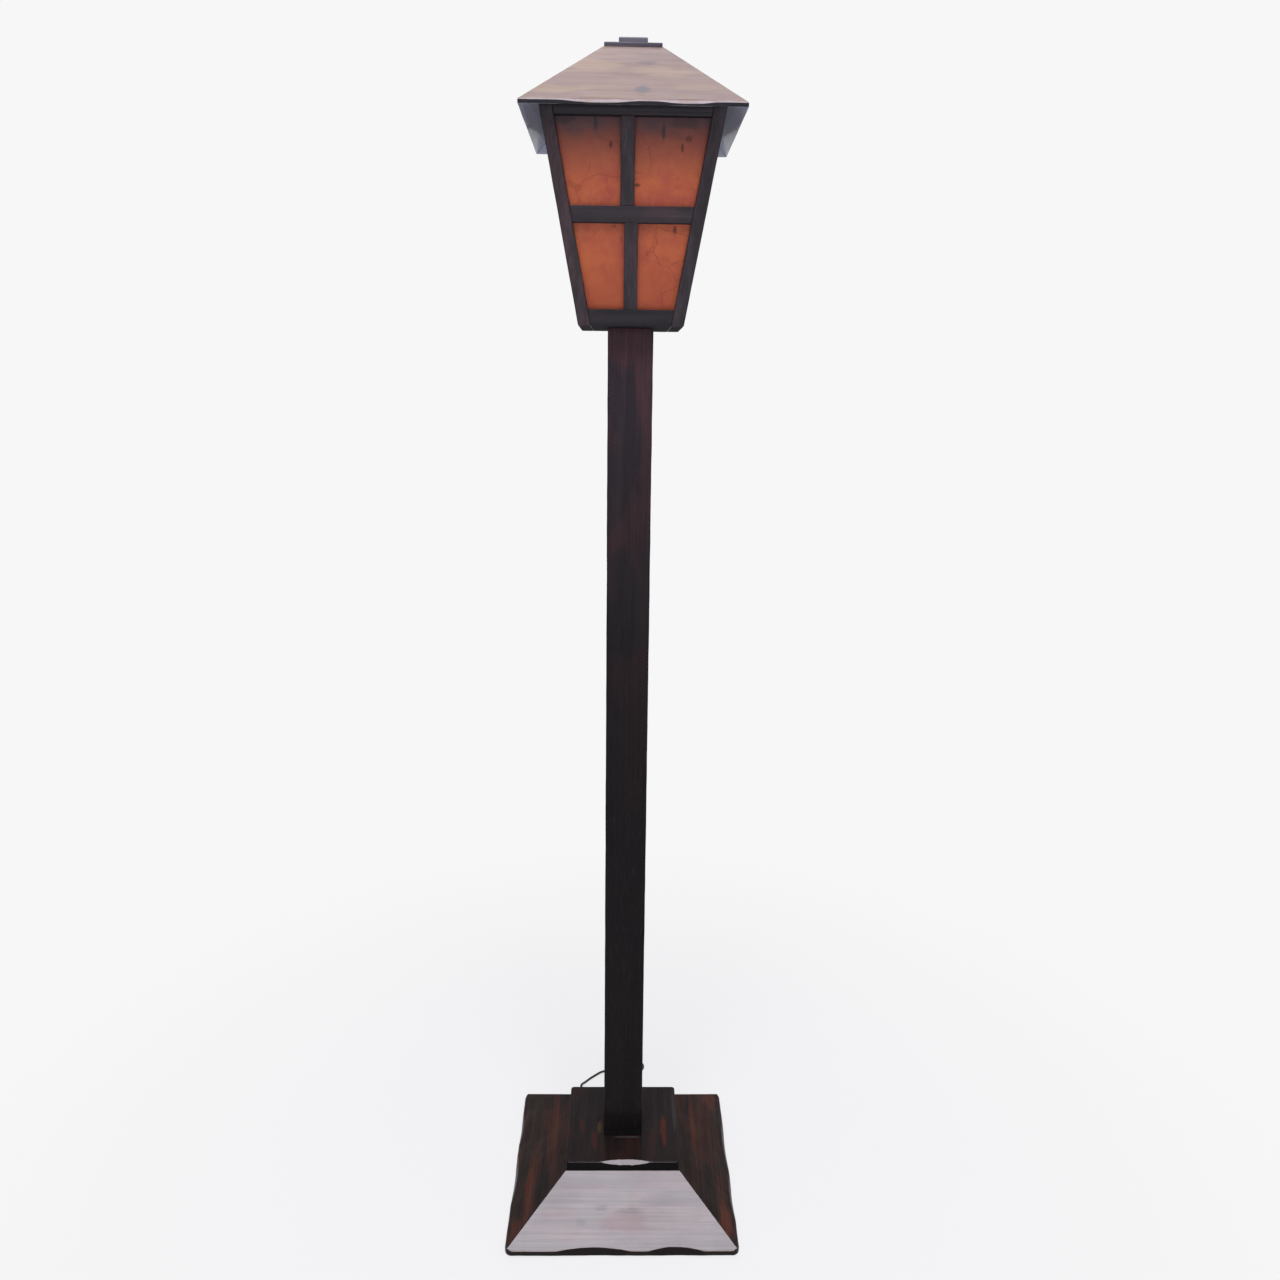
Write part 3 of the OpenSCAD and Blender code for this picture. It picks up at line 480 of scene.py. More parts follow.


# The edge colour is a near-black painted shade on the boards' upright faces and gouged crescents.
BROWN = dict(
    dark=linear(28, 19, 15), mid=linear(54, 36, 26), red=linear(88, 44, 29),
    worn=linear(84, 55, 40), edge=linear(20, 13, 13),
    line_dulling=0.08, relief=0.1, patch_mix=0.35, level=0.15
)
BLACK = dict(
    dark=linear(24, 23, 27), mid=linear(38, 35, 40), red=linear(50, 38, 42),
    worn=linear(70, 60, 62), coat=0.1, level=0.15, wear_amount=0.6
)
LIGHTER_BLACK = {
    **BLACK, "dark": linear(38, 34, 37), "mid": linear(58, 51, 56), "red": linear(74, 53, 56)
}
# The edge colour is a near-black painted shade on the eave's upright faces, and the colour given
# for undersides is a pale bluish painted reflection.
ROOF = dict(
    dark=linear(130, 111, 101), mid=linear(156, 134, 119), red=linear(162, 139, 118),
    worn=linear(170, 159, 162), edge=linear(22, 23, 28), painted_underside_light=linear(146, 152, 168),
    varnished_from=(0.15, 0.35), coat=0.5, coat_rough=0.16, rough=0.38, streak_mix=0.5,
    patch_mix=0.35, line_mix=0.15, line_dulling=0.06, relief=0.25, level=0.3
)
ROSE, VIOLET_GREY = linear(98, 52, 50), linear(42, 38, 46)
GOLD, SLATE = linear(184, 160, 118), linear(84, 88, 96)
RUST, MOSS, PAINTED_HIGHLIGHT_GREY = linear(112, 50, 28), linear(84, 70, 36), linear(74, 74, 72)
# Marks in the finish, and on the plate two painted highlights: centre and half size in millimetres,
# colour, how much it covers, how much it dulls the varnish
SLOPE_MARKS = [
    ((6, -143, 32), (44, 22, 18), ROSE, 0.45, 0.16),
    ((8, -132, 41), (30, 5, 4), VIOLET_GREY, 0.5, 0.14),
    ((-31, -128, 43), (14, 6, 5), VIOLET_GREY, 0.5, 0.2),
    ((-64, -144, 32), (10, 6, 5), VIOLET_GREY, 0.5, 0.16),
    ((-95, -136, 38), (36, 10, 8), ROSE, 0.4, 0.08),
    ((62, -120, 50), (36, 12, 9), VIOLET_GREY, 0.4, 0.1),
    ((-50, -108, 60), (50, 10, 8), ROSE, 0.3, 0.03),
    ((70, -106, 61), (40, 7, 6), ROSE, 0.3, 0.03),
    ((-20, 140, 34), (40, 20, 17), ROSE, 0.4, 0.14),
    ((70, 128, 43), (20, 9, 8), VIOLET_GREY, 0.5, 0.14)
]
SIDE_MARKS = [
    ((159, -134, 20), (16, 40, 16), RUST, 0.5, 0.1),
    ((152, 146, 26), (22, 34, 20), RUST, 0.35, 0.1),
    ((118, 40, 52), (8, 110, 8), RUST, 0.25, 0.1),
    ((-146, -80, 30), (10, 90, 10), RUST, 0.3, 0.1),
    ((-160, -150, 18), (16, 36, 14), RUST, 0.3, 0.1),
    ((-112, 60, 56), (8, 90, 8), RUST, 0.2, 0.1)
]
PLATE_MARKS = [
    ((66, -14, 90), (5.5, 38, 6), RUST, 0.4, 0.2),
    ((-37, -12, 90), (5, 16, 6), MOSS, 0.6, 0.2),
    # Painted highlight along the plate's right arris.
    ((84, 30, 90), (4, 60, 6), PAINTED_HIGHLIGHT_GREY, 0.35, 0.0),
    ((-44, -40, 90), (6, 24, 6), RUST, 0.2, 0.1),
    ((-66, -10, 90), (6, 24, 6), RUST, 0.15, 0.1),
    # Painted highlight on the plate's top just in front of the post.
    ((6, -33, 90), (24, 1.6, 6), PAINTED_HIGHLIGHT_GREY, 0.9, 0.0)
]
ROOF_MARKS = [
    ((-48, -72, 1629), (46, 16, 15), GOLD, 0.3, 0.04),
    ((-94, -116, 1592), (44, 11, 10), GOLD, 0.3, 0.04),
    ((-36, -112, 1595), (40, 8, 7), GOLD, 0.2, 0.04),
    ((30, -82, 1621), (48, 15, 14), GOLD, 0.27, 0.04),
    ((11, -116, 1592), (10, 16, 13), SLATE, 0.6, 0.12),
    ((17, -67, 1634), (14, 7, 6), SLATE, 0.45, 0.12),
    ((75, -110, 1597), (40, 9, 8), GOLD, 0.18, 0.04),
    ((-10, -52, 1646), (20, 7, 6), GOLD, 0.14, 0.04)
]


def turned(p, side):
    """A point turned from the front to its side."""
    x, y, z = p
    return [(x, y, z), (-y, x, z), (-x, -y, z), (y, -x, z)][side]


def turned_marks(marks, side, shift):
    """The same marks on another side, shifted along it by some millimetres."""
    out = []
    for (x, y, z), size, *rest in marks:
        w, d, h = size
        size = (w, d, h) if side % 2 == 0 else (d, w, h)
        out.append((turned((x + shift, y, z), side), size, *rest))
    return out


MATERIALS = {
    "base_x": timber("stained_timber_across", "x", **BROWN, marks=SLOPE_MARKS),
    "base_y": timber("stained_timber_along", "y", **BROWN, coat=0.6, marks=SIDE_MARKS),
    # The plate's edge colour is a near-black painted shade on its upright faces.
    "plate": timber("plate_timber", "y", dark=linear(28, 22, 20), mid=linear(44, 33, 30),
                    red=linear(68, 38, 32), worn=linear(52, 48, 48), edge=linear(8, 8, 9),
                    patch_mix=0.4, level=0.1, wear_amount=0.5, line_dulling=0.1, marks=PLATE_MARKS),
    # The post's foot colour is painted shade near the floor.
    "post": timber("post_timber", "z", dark=linear(47, 41, 46), mid=linear(62, 54, 59),
                   red=linear(84, 55, 58), worn=linear(48, 42, 46), foot=linear(12, 11, 10),
                   coat=0.04, level=0.08, patch_mix=0.7, wear_amount=0.4),
    "frame_z": timber("frame_timber_upright", "z", **LIGHTER_BLACK),
    "cross_x": timber("cross_timber_across", "x", **LIGHTER_BLACK),
    "cross_y": timber("cross_timber_along", "y", **LIGHTER_BLACK),
    "frame_x": timber("frame_timber_across", "x", **BLACK),
    "frame_y": timber("frame_timber_along", "y", **BLACK),
    "roof_x": timber("roof_timber_across", "x", **ROOF,
                     marks=ROOF_MARKS + turned_marks(ROOF_MARKS, 2, 14)),
    "roof_y": timber("roof_timber_along", "y", **ROOF,
                     marks=turned_marks(ROOF_MARKS, 1, -12) + turned_marks(ROOF_MARKS, 3, 20)),
    "cap": timber("cap_timber", "x", dark=linear(62, 60, 71), mid=linear(84, 82, 94),
                  red=linear(88, 80, 90), worn=linear(92, 88, 100), coat=0.4, level=0.3,
                  wear_amount=0.6),
    "knob": timber("knob_timber", "x", dark=linear(85, 83, 93), mid=linear(108, 105, 116),
                   red=linear(106, 98, 108), worn=linear(104, 100, 110), coat=0.5, level=0.3,
                   wear_amount=0.6),
    "raw": timber("bare_timber", "x", dark=linear(150, 116, 78), mid=linear(186, 150, 106),
                  red=linear(170, 128, 84), worn=linear(190, 160, 120), rough=0.6, coat=0.0,
                  level=0.3, relief=0.5),
}

# Drips of stain and knot-like flecks in the sheets, and two wide marks of painted shade along the
# top: centre and half size in millimetres
DRIP_AND_PAINTED_SHADE, FLECK = linear(54, 42, 46), linear(76, 40, 26)
SHEET_MARKS = [
    ((-44.5, -101, 1560), (3.2, 6, 10), DRIP_AND_PAINTED_SHADE, 0.8, 0.0),
    ((37, -99, 1551), (2.8, 6, 15), DRIP_AND_PAINTED_SHADE, 0.8, 0.0),
    # These two wide marks carry the painted shade beneath the eave lower at the left and right.
    ((-78, -101, 1564), (17, 6, 8), DRIP_AND_PAINTED_SHADE, 0.8, 0.0),
    ((62, -101, 1560), (24, 6, 8), DRIP_AND_PAINTED_SHADE, 0.6, 0.0),
    ((-26.6, -96, 1536.5), (2.6, 6, 5), FLECK, 0.85, 0.0),
    ((59.5, -96, 1534), (2.2, 6, 6), FLECK, 0.8, 0.0),
    ((67, -98, 1544), (5, 6, 4), FLECK, 0.6, 0.0),
    ((6.5, -88, 1493), (4.2, 6, 2.2), FLECK, 0.8, 0.0),
    ((53.3, -80, 1443.6), (2.6, 6, 5), FLECK, 0.75, 0.0),
    ((-22, -80, 1447), (3, 6, 2.4), FLECK, 0.4, 0.0),
    ((-13, -78, 1432), (1.8, 6, 5), FLECK, 0.4, 0.0),
    ((20, -77, 1416), (2.2, 6, 6), FLECK, 0.4, 0.0)
]

# Heights in metres between which the sheets' warm foot fades, and where their painted shade beneath
# the eave and its darkest part start
WARM_FOOT, PAINTED_EAVE_SHADE, DEEPEST_EAVE_SHADE = (1.34, 1.47), (1.484, 1.556), (1.54, 1.568)


def mica(name):
    """Amber mica-like sheet: mottled, sparsely cracked, dripped on near the top, and darkened there
    by painted shade beneath the eave.
    """
    material, n, shader = start_material(name)
    place = n.place()
    mottle = n.noise(place, 20.0, 3.0, 0.55, 0.5)
    fine = n.noise(place, 90.0, 4.0, 0.65)
    bend = n.add("ShaderNodeTexNoise")
    n.fill(bend.inputs, Scale=26.0, Vector=place)
    cells = n.add("ShaderNodeTexVoronoi", feature="DISTANCE_TO_EDGE")
    bent = n.vector("ADD", place, n.vector("SCALE", bend.outputs["Color"], 0.03))
    n.fill(cells.inputs, Vector=bent, Scale=24.0)
    shown = n.span(n.noise(place, 12.0, 1.0), 0.5, 0.6)
    cracks = n.times(n.span(cells.outputs["Distance"], 0.006, 0.022, 1.0, 0.0), shown)
    film = use_group(n, FILM, Vector=place, Scale=0.7)
    colour = n.mix(n.span(mottle, 0.34, 0.66), linear(168, 78, 57), linear(188, 97, 57))
    colour = n.mix(n.times(n.span(fine, 0.42, 0.7), 0.3), colour, linear(205, 117, 66))
    colour = n.mix(n.times(cracks, 0.34), colour, linear(112, 44, 32))
    colour = n.mix(n.times(film["Specks"], 0.25), colour, linear(96, 40, 26))
    height = n.apart(place)["Z"]
    height = n.plus(height, n.times(n.centred(mottle), 0.05))
    colour = n.mix(n.span(height, *WARM_FOOT, 0.55, 0.0), colour, linear(142, 60, 36))
    # Painted shade beneath the eave: the sheets darken towards their top.
    colour = n.mix(n.span(height, *PAINTED_EAVE_SHADE, 0.0, 0.62), colour, linear(84, 50, 51))
    colour = n.mix(n.span(height, *DEEPEST_EAVE_SHADE, 0.0, 0.82), colour, linear(60, 53, 59))
    colour, _ = add_marks(n, colour, 0.0, place, n.noise(place, 85.0, 3.0, 0.6), SHEET_MARKS)
    relief = n.math("SUBTRACT", n.times(mottle, 0.8), n.times(cracks, 0.25))
    n.fill(
        shader.inputs, Base_Color=colour, Roughness=n.plus(0.34, n.times(fine, 0.25)),
        Specular_IOR_Level=0.24, Transmission_Weight=0.08, Normal=n.bump(relief, 0.25, 0.002)
    )
    return material


def plain(name, colour, second, rough, metal=0.0, coat=0.0, bump=0.15, grit=400.0,
          transmission=0.0):
    """Moulded or rolled stock: slight colour drift, handling marks and fine surface grit."""
    material, n, shader = start_material(name)
    place = n.place()
    film = use_group(n, FILM, Vector=place)
    drift = n.noise(place, 40.0, 3.0, 0.6)
    grit_value = n.noise(place, grit, 2.0, 0.5)
    roughness = n.plus(rough, n.times(film["Film"], 0.15))
    n.fill(
        shader.inputs, Base_Color=n.mix(n.span(drift, 0.35, 0.65), colour, second),
        Roughness=n.plus(roughness, n.times(grit_value, 0.08)), Metallic=metal, Coat_Weight=coat,
        Transmission_Weight=transmission, Normal=n.bump(grit_value, bump, 0.0003)
    )
    return material


MATERIALS.update({
    "pane": mica("amber_mica"),
    "steel": plain("screw_steel", linear(168, 168, 170), linear(130, 130, 134), 0.3, metal=1.0),
    "felt": plain("pad_felt", linear(58, 58, 56), linear(74, 73, 70), 0.95, bump=0.8, grit=1500.0),
    "porcelain": plain("glazed_porcelain", linear(232, 228, 218), linear(222, 216, 204), 0.15,
                       coat=0.5),
    "brass": plain("brass_stock", linear(198, 160, 84), linear(168, 130, 66), 0.28, metal=1.0),
    "bulb": plain("opal_glass", linear(244, 241, 232), linear(236, 232, 222), 0.25, coat=0.3,
                  transmission=0.15),
    "bulb_cap": plain("plated_cap", linear(190, 188, 182), linear(160, 158, 152), 0.3, metal=1.0),
    "lead": plain("lead_sheath", linear(34, 36, 34), linear(48, 50, 47), 0.42, bump=0.35,
                  grit=900.0),
    "plastic": plain("black_moulding", linear(26, 25, 25), linear(36, 35, 34), 0.35, bump=0.3,
                     grit=1200.0),
})
lead.data.materials.append(MATERIALS["lead"])

# ---------------- hewn timber meshes

# Spacing of points near an arris that is gouged, in metres: on a block and on a board
FINE_CELL, BOARD_FINE_CELL = 0.0007, 0.001
FINE_REACH = 0.007
# Spacing of points along a board, and how nearly a board reaches its mitre
STATION, MITRE_REACH = 0.0032, 0.9985
# Sizes of the hewn surface's long and short waves
LONG_WAVE, SHORT_WAVE = 0.045, 0.016
# How far wear reaches from an arris, on a block and on a board
BLOCK_WEAR, BOARD_WEAR = 0.0025, 0.003
SMOOTH_BELOW = math.radians(32)
# Each kind of piece: arris radius, spacing of points and depth of its hewn waves, in metres
HEWN = {
    "base_slope": (0.0012, 0.008, 0.0007), "roof_slope": (0.001, 0.008, 0.0006),
    "plate": (0.0006, 0.002, 0.0004), "post": (0.002, 0.010, 0.0005),
    "cap": (0.0012, 0.006, 0.0003), "knob": (0.0015, 0.004, 0.0003),
    "stile": (0.0012, 0.008, 0.0004), "rail": (0.001, 0.008, 0.0003),
    "muntin": (0.001, 0.008, 0.0003), "pane": (0.0003, 0.008, 0.0003)
}


def wobble(p, size, seed):
    """A smooth value from about -1 to 1 that changes over the given distance."""
    return noise.noise(Vector((p[0] / size + seed, p[1] / size - seed, p[2] / size + 2 * seed)))


def finish_piece(name, surface, depth, seed, settings, shares=None):
    """Makes the mesh, moves its points along their normals by hewn waves of a depth, of which each
    point takes its share, and hands it to its body. settings are the body, the nodes that the piece
    stands for, the slot, which is not used, the material and the gouge cuts."""
    points, faces, wear = surface
    body, nodes, slot_name, material, cuts = settings
    mesh = bpy.data.meshes.new(name)
    mesh.from_pydata([tuple(p) for p in points], [], faces)
    mesh.update()
    normals = np.zeros(len(mesh.vertices) * 3, np.float32)
    mesh.vertices.foreach_get("normal", normals)
    normals = normals.reshape(-1, 3)
    moved = []
    for p, normal, share in zip(points, normals, shares or [1] * len(points)):
        v = 0.65 * wobble(p, LONG_WAVE, seed) + 0.35 * wobble(p, SHORT_WAVE, seed + 5)
        moved.append(Vector(p) + Vector(normal) * (v * depth * share))
    if cuts:
        moved = [gouged(p, *cuts) for p in moved]
    for vertex, p in zip(mesh.vertices, moved):
        vertex.co = p
    attribute = mesh.attributes.new("wear", "FLOAT", "POINT")
    attribute.data.foreach_set("value", np.array(wear, np.float32))
    for polygon in mesh.polygons:
        polygon.use_smooth = True
    mesh.set_sharp_from_angle(angle=SMOOTH_BELOW)
    mesh.materials.append(material)
    piece = new_object(name, mesh)
    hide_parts(*nodes)
    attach(piece, body)
    return piece


def gouged(p, side, arris, tilt, cuts):
    """Moves a point near a side's arris into the flat-bottomed hollow of each gouge cut there."""
    x, y, z = turned(p, (4 - side) % 4)
    out, up = -y - arris[0], z - arris[1]
    ny, nz = math.cos(tilt), math.sin(tilt)
    height = out * ny + up * nz
    for place, chord, depth in cuts:
        half = chord / 2
        if abs(x - place) >= half:
            continue
        r = (half * half + depth * depth) / (2 * depth)
        cut = math.sqrt(r * r - (x - place) ** 2) - (r - depth)
        if height > -cut:
            move = height + cut
            y, z, height = y + ny * move, z - nz * move, -cut
    return Vector(turned((x, y, z), side))


def row(length, radius, cell, fine_reach=0.0):
    """Places along an edge: close together in the round at each end and as far as the fine reach,
    and a cell apart between."""
    ends = [0, 0.3 * radius, 0.65 * radius, radius]
    fine_count = round(fine_reach / FINE_CELL)
    ends += [radius + fine_reach * k / fine_count for k in range(1, fine_count + 1)]
    start = ends[-1]
    count = max(1, round((length - 2 * start) / cell))
    middle = [start + (length - 2 * start) * k / count for k in range(1, count)]
    return ends + middle + [length - e for e in reversed(ends)]


def block_surface(corners, radius, cell, fine_reach=(0, 0, 0)):
    """A box with any eight corners, gridded, with rounded arrises. Corners go by x, then y,
    then z."""
    c = [Vector(p) for p in corners]
    size = [(c[1] - c[0]).length, (c[2] - c[0]).length, (c[4] - c[0]).length]
    radius = min(radius, min(size) * 0.3)
    rows = [row(s, radius, cell, fine) for s, fine in zip(size, fine_reach)]
    index, points, wear = {}, [], []

    def point(i, j, k):
        if (i, j, k) not in index:
            p = Vector((rows[0][i], rows[1][j], rows[2][k]))
            q = Vector([min(max(v, radius), s - radius) for v, s in zip(p, size)])
            d = p - q
            if d.length > 1e-9:
                p = q + d * (radius / d.length)
            u, v, w = (a / s for a, s in zip(p, size))
            low = (c[0] * (1 - u) + c[1] * u) * (1 - v) + (c[2] * (1 - u) + c[3] * u) * v
            high = (c[4] * (1 - u) + c[5] * u) * (1 - v) + (c[6] * (1 - u) + c[7] * u) * v
            reach = sorted(min(a, s - a) for a, s in zip(p, size))[1]
            index[(i, j, k)] = len(points)
            points.append(low * (1 - w) + high * w)
            wear.append(math.exp(-max(0.0, reach - radius) / BLOCK_WEAR))
        return index[(i, j, k)]

    cells = [len(r) - 1 for r in rows]
    faces = []
    for a, b, fixed in ((0, 1, 2), (0, 2, 1), (1, 2, 0)):
        for u in range(cells[a]):
            for v in range(cells[b]):
                for level in (0, cells[fixed]):
                    ring = [(0, 0), (1, 0), (1, 1), (0, 1)]
                    if (level == 0) != (fixed == 1):
                        ring = [(0, 0), (0, 1), (1, 1), (1, 0)]
                    face, at = [], [level] * 3
                    for across, along in ring:
                        at[a], at[b] = u + across, v + along
                        face.append(point(*at))
                    faces.append(tuple(face))
    return points, faces, wear


def join_surfaces(parts):
    """Several surfaces as one list of points, faces and wear values."""
    points, faces, wear = [], [], []
    for p, f, w in parts:
        start = len(points)
        points += p
        wear += w
        faces += [tuple(i + start for i in face) for face in f]
    return points, faces, wear


def box_corners(low, high):
    """The eight corners of an upright box, in block_surface's order."""
    return [
        (x, y, z) for z in (low[2], high[2]) for y in (low[1], high[1]) for x in (low[0], high[0])
    ]


def node_corners(node):
    """The eight corners of a bar's own node, in block_surface's order."""
    seen = {}
    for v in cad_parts[node].data.vertices:
        seen[tuple(round(a, 5) for a in v.co)] = v.co
    found = sorted(seen.values(), key=lambda p: p.z)
    corners = []
    for level in (found[:4], found[4:8]):
        middle = sum((p.y for p in level)) / 4
        for behind in (False, True):
            corners += sorted((p for p in level if (p.y > middle) == behind), key=lambda p: p.x)
    return corners


def hewn_bar(name, corners, hewn, seed, body, nodes, slot_name, material):
    """A bar with eight corners and no gouge cuts."""
    radius, cell, depth = hewn
    return finish_piece(name, block_surface(corners, radius, cell), depth, seed,
                        (body, nodes, slot_name, material, None))


def rounded_outline(corners, radius, fine, coarse, fine_reach):
    """A closed outline with each corner rounded: its points, and how far each is from the nearest
    arris. Corners marked True are arrises."""
    outline = []
    count = len(corners)
    for i in range(count):
        a, b, c = (Vector(corners[(i + k) % count][0]) for k in (-1, 0, 1))
        r = radius if corners[i][1] else radius * 0.5
        for t in (0, 0.33, 0.67, 1):
            start, end = b + (a - b).normalized() * r, b + (c - b).normalized() * r
            outline.append((start * (1 - t) ** 2 + b * 2 * t * (1 - t) + end * t * t))
        length = (c - b).length - 2 * r
        places, at = [], 0.0
        direction = (c - b).normalized()
        while at < length:
            near_start = corners[i][1] and at < fine_reach
            near_end = corners[(i + 1) % count][1] and length - at < fine_reach + coarse
            at += fine if near_start or near_end else coarse
            if at < length - 0.4 * fine:
                places.append(at)
        outline += [b + direction * (r + p) for p in places]
    arrises = [Vector(p) for p, arris in corners if arris]
    distance = [min((q - p).length for p in arrises) for q in outline]
    return outline, distance


def hewn_board(name, side, corners, round_plan, hewn, seed, body, node, slot_name, material, cuts):
    """One board of a hipped base or roof, which meets its neighbours on mitres. corners are
    (distance out, height) pairs, each with whether it is an arris."""
    radius, cell, depth = hewn
    outline, distance = rounded_outline(corners, radius, BOARD_FINE_CELL, cell, FINE_REACH)
    widest = max(p[0] for p in outline)
    half_count = round(widest / STATION)
    points, wear, shares = [], [], []
    for i in range(-half_count, half_count + 1):
        t = i / half_count * MITRE_REACH
        for q, d in zip(outline, distance):
            x, y = t * q[0], -q[0]
            if round_plan:
                half, r = round_plan
                inner = half - r
                dx, dy = abs(x) - inner, abs(y) - inner
                if dx > 0 and dy > 0 and math.hypot(dx, dy) > r:
                    f = r / math.hypot(dx, dy)
                    x, y = math.copysign(inner + dx * f, x), -(inner + dy * f)
            points.append(turned((x, y, q[1]), side))
            wear.append(math.exp(-max(0.0, d - radius) / BOARD_WEAR))
            shares.append(min(1.0, (1 - abs(t)) * 12))
    n = len(outline)
    faces = []
    for i in range(2 * half_count):
        for k in range(n):
            a, b = i * n + k, i * n + (k + 1) % n
            faces.append((a, b, b + n, a + n))
    faces.append(tuple(reversed(range(n))))
    last = 2 * half_count * n
    faces.append(tuple(range(last, last + n)))
    return finish_piece(name, (points, faces, wear), depth, seed,
                        (body, [node], slot_name, material, (side, *cuts)), shares)


SIDES = ["front", "right", "back", "left"]
BASE_HALF, BASE_CORNER_R, PLATE_HALF, PLATE_CORNER_R = 0.175, 0.012, 0.088, 0.005
BASE_BOARD_T = 0.018
FOOT_Z, BASE_ARRIS_Z, PLATE_Z, BASE_TOP_Z = 0.0015, 0.008, 0.075, 0.090
SLOPE_RUN = (BASE_HALF - PLATE_HALF) / (PLATE_Z - BASE_ARRIS_Z)
SLOPE_ACROSS = BASE_BOARD_T / math.sin(math.atan(1 / SLOPE_RUN))
INNER_FOOT = PLATE_HALF + (PLATE_Z - FOOT_Z) * SLOPE_RUN - SLOPE_ACROSS
BASE_CORNERS = [
    ((BASE_HALF, FOOT_Z), False), ((BASE_HALF, BASE_ARRIS_Z), True),
    ((PLATE_HALF, PLATE_Z), False), ((PLATE_HALF - SLOPE_ACROSS, PLATE_Z), False),
    ((INNER_FOOT, FOOT_Z), False)
]
# Gouge cuts on each side: place along the side, length and depth, in metres
BASE_CUTS = [
    [(-0.043, 0.116, 0.0032), (0.080, 0.084, 0.0032)],
    [(-0.070, 0.090, 0.0028), (0.045, 0.120, 0.0032)],
    [(-0.020, 0.130, 0.0032), (0.105, 0.070, 0.0026)],
    [(-0.085, 0.080, 0.0028), (0.030, 0.110, 0.0032)]
]
PLATE_CUTS = [(0.004, 0.088, 0.0042)]
EAVE_CUTS = [
    [(-0.040, 0.100, 0.0015), (0.062, 0.080, 0.0011)],
    [(-0.062, 0.070, 0.0013), (0.040, 0.096, 0.0015)],
    [(-0.030, 0.090, 0.0014), (0.066, 0.064, 0.0012)],
    [(-0.058, 0.076, 0.0013), (0.036, 0.088, 0.0014)]
]
EAVE_HALF, EAVE_Z, EAVE_EDGE = 0.134, 1.576, 0.005
ROOF_TOP_HALF, ROOF_TOP_Z = 0.037, 1.660
PITCH = (ROOF_TOP_Z - EAVE_Z) / (EAVE_HALF - ROOF_TOP_HALF)
ROOF_INNER = EAVE_HALF - (ROOF_TOP_Z - EAVE_Z + EAVE_EDGE) / PITCH
ROOF_CORNERS = [
    ((EAVE_HALF, EAVE_Z - EAVE_EDGE), False), ((EAVE_HALF, EAVE_Z), True),
    ((ROOF_TOP_HALF, ROOF_TOP_Z), False), ((ROOF_INNER, ROOF_TOP_Z), False)
]
# The lantern's foot and its half width there; its sides lean out by 44 mm over 246 mm of height
LANTERN_Z, LANTERN_HALF, LEAN = 1.330, 0.0675, 44 / 246
STILE, MUNTIN, CROSS_LOW, CROSS_TOP = 0.016, 0.008, 1.450, 1.469
PANE_LOW, PANE_TOP, UPRIGHT_W = 1.350, 1.566, 0.017
UPPER_SHIFT, LOWER_SHIFT = -0.006, -0.001
# How each arris's gouge cuts are tilted
BASE_TILT, EAVE_TILT, PLATE_TILT = math.radians(20), math.radians(30), math.radians(45)

for side, word in enumerate(SIDES):
    axis = "x" if side % 2 == 0 else "y"
    hewn_board(
        "base_slope_" + word, side, BASE_CORNERS, (BASE_HALF, BASE_CORNER_R), HEWN["base_slope"],
        11 + side, "lamp", word + "_base_board", "stained_wood", MATERIALS["base_" + axis],
        ((BASE_HALF, BASE_ARRIS_Z), BASE_TILT, BASE_CUTS[side])
    )
    hewn_board(
        "roof_slope_" + word, side, ROOF_CORNERS, None, HEWN["roof_slope"],
        31 + side, "roof", word + "_roof_board", "roof_wood", MATERIALS["roof_" + axis],
        ((EAVE_HALF, EAVE_Z), EAVE_TILT, EAVE_CUTS[side])
    )


def rounded_plan(p, half, r):
    """A point of a square piece, with the square's corners in plan rounded."""
    dx, dy = abs(p[0]) - half + r, abs(p[1]) - half + r
    if dx <= 0 or dy <= 0:
        return Vector(p)
    f = max(dx, dy) / math.hypot(dx, dy)
    inner = half - r
    return Vector((math.copysign(inner + dx * f, p[0]), math.copysign(inner + dy * f, p[1]), p[2]))


# The plate is fine near the arrises of its depth and of its thickness, where its cut is
PLATE_FINE_REACH = (0, FINE_REACH, 0.0063)
radius, cell, depth = HEWN["plate"]
points, faces, wear = block_surface(
    box_corners(*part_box("base_plate")), radius, cell, PLATE_FINE_REACH
)
points = [rounded_plan(p, PLATE_HALF, PLATE_CORNER_R) for p in points]
finish_piece("base_top_plate", (points, faces, wear), depth, 3,
             ("lamp", ["base_plate"], "stained_wood", MATERIALS["plate"],
              (0, (PLATE_HALF, BASE_TOP_Z), PLATE_TILT, PLATE_CUTS)))
post_low, post_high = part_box("post")
POST_HALF, TENON_HALF, TENON_RADIUS, TENON_CELL = 0.030, 0.020, 0.001, 0.012
radius, cell, depth = HEWN["post"]
above = box_corners((-POST_HALF, -POST_HALF, BASE_TOP_Z), (POST_HALF, POST_HALF, post_high.z))
tenon = box_corners((-TENON_HALF, -TENON_HALF, post_low.z), (TENON_HALF, TENON_HALF, BASE_TOP_Z))
surface = join_surfaces([
    block_surface(above, radius, cell), block_surface(tenon, TENON_RADIUS, TENON_CELL)
])
finish_piece("square_post", surface, depth, 7,
             ("lamp", ["post"], "black_wood", MATERIALS["post"], None))
hewn_bar("cap_square", box_corners(*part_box("cap_plate")), HEWN["cap"], 41, "roof",
         ["cap_plate"], "black_wood", MATERIALS["cap"])
hewn_bar("cap_knob", box_corners(*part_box("cap_block")), HEWN["knob"], 43, "roof",
         ["cap_block"], "black_wood", MATERIALS["knob"])

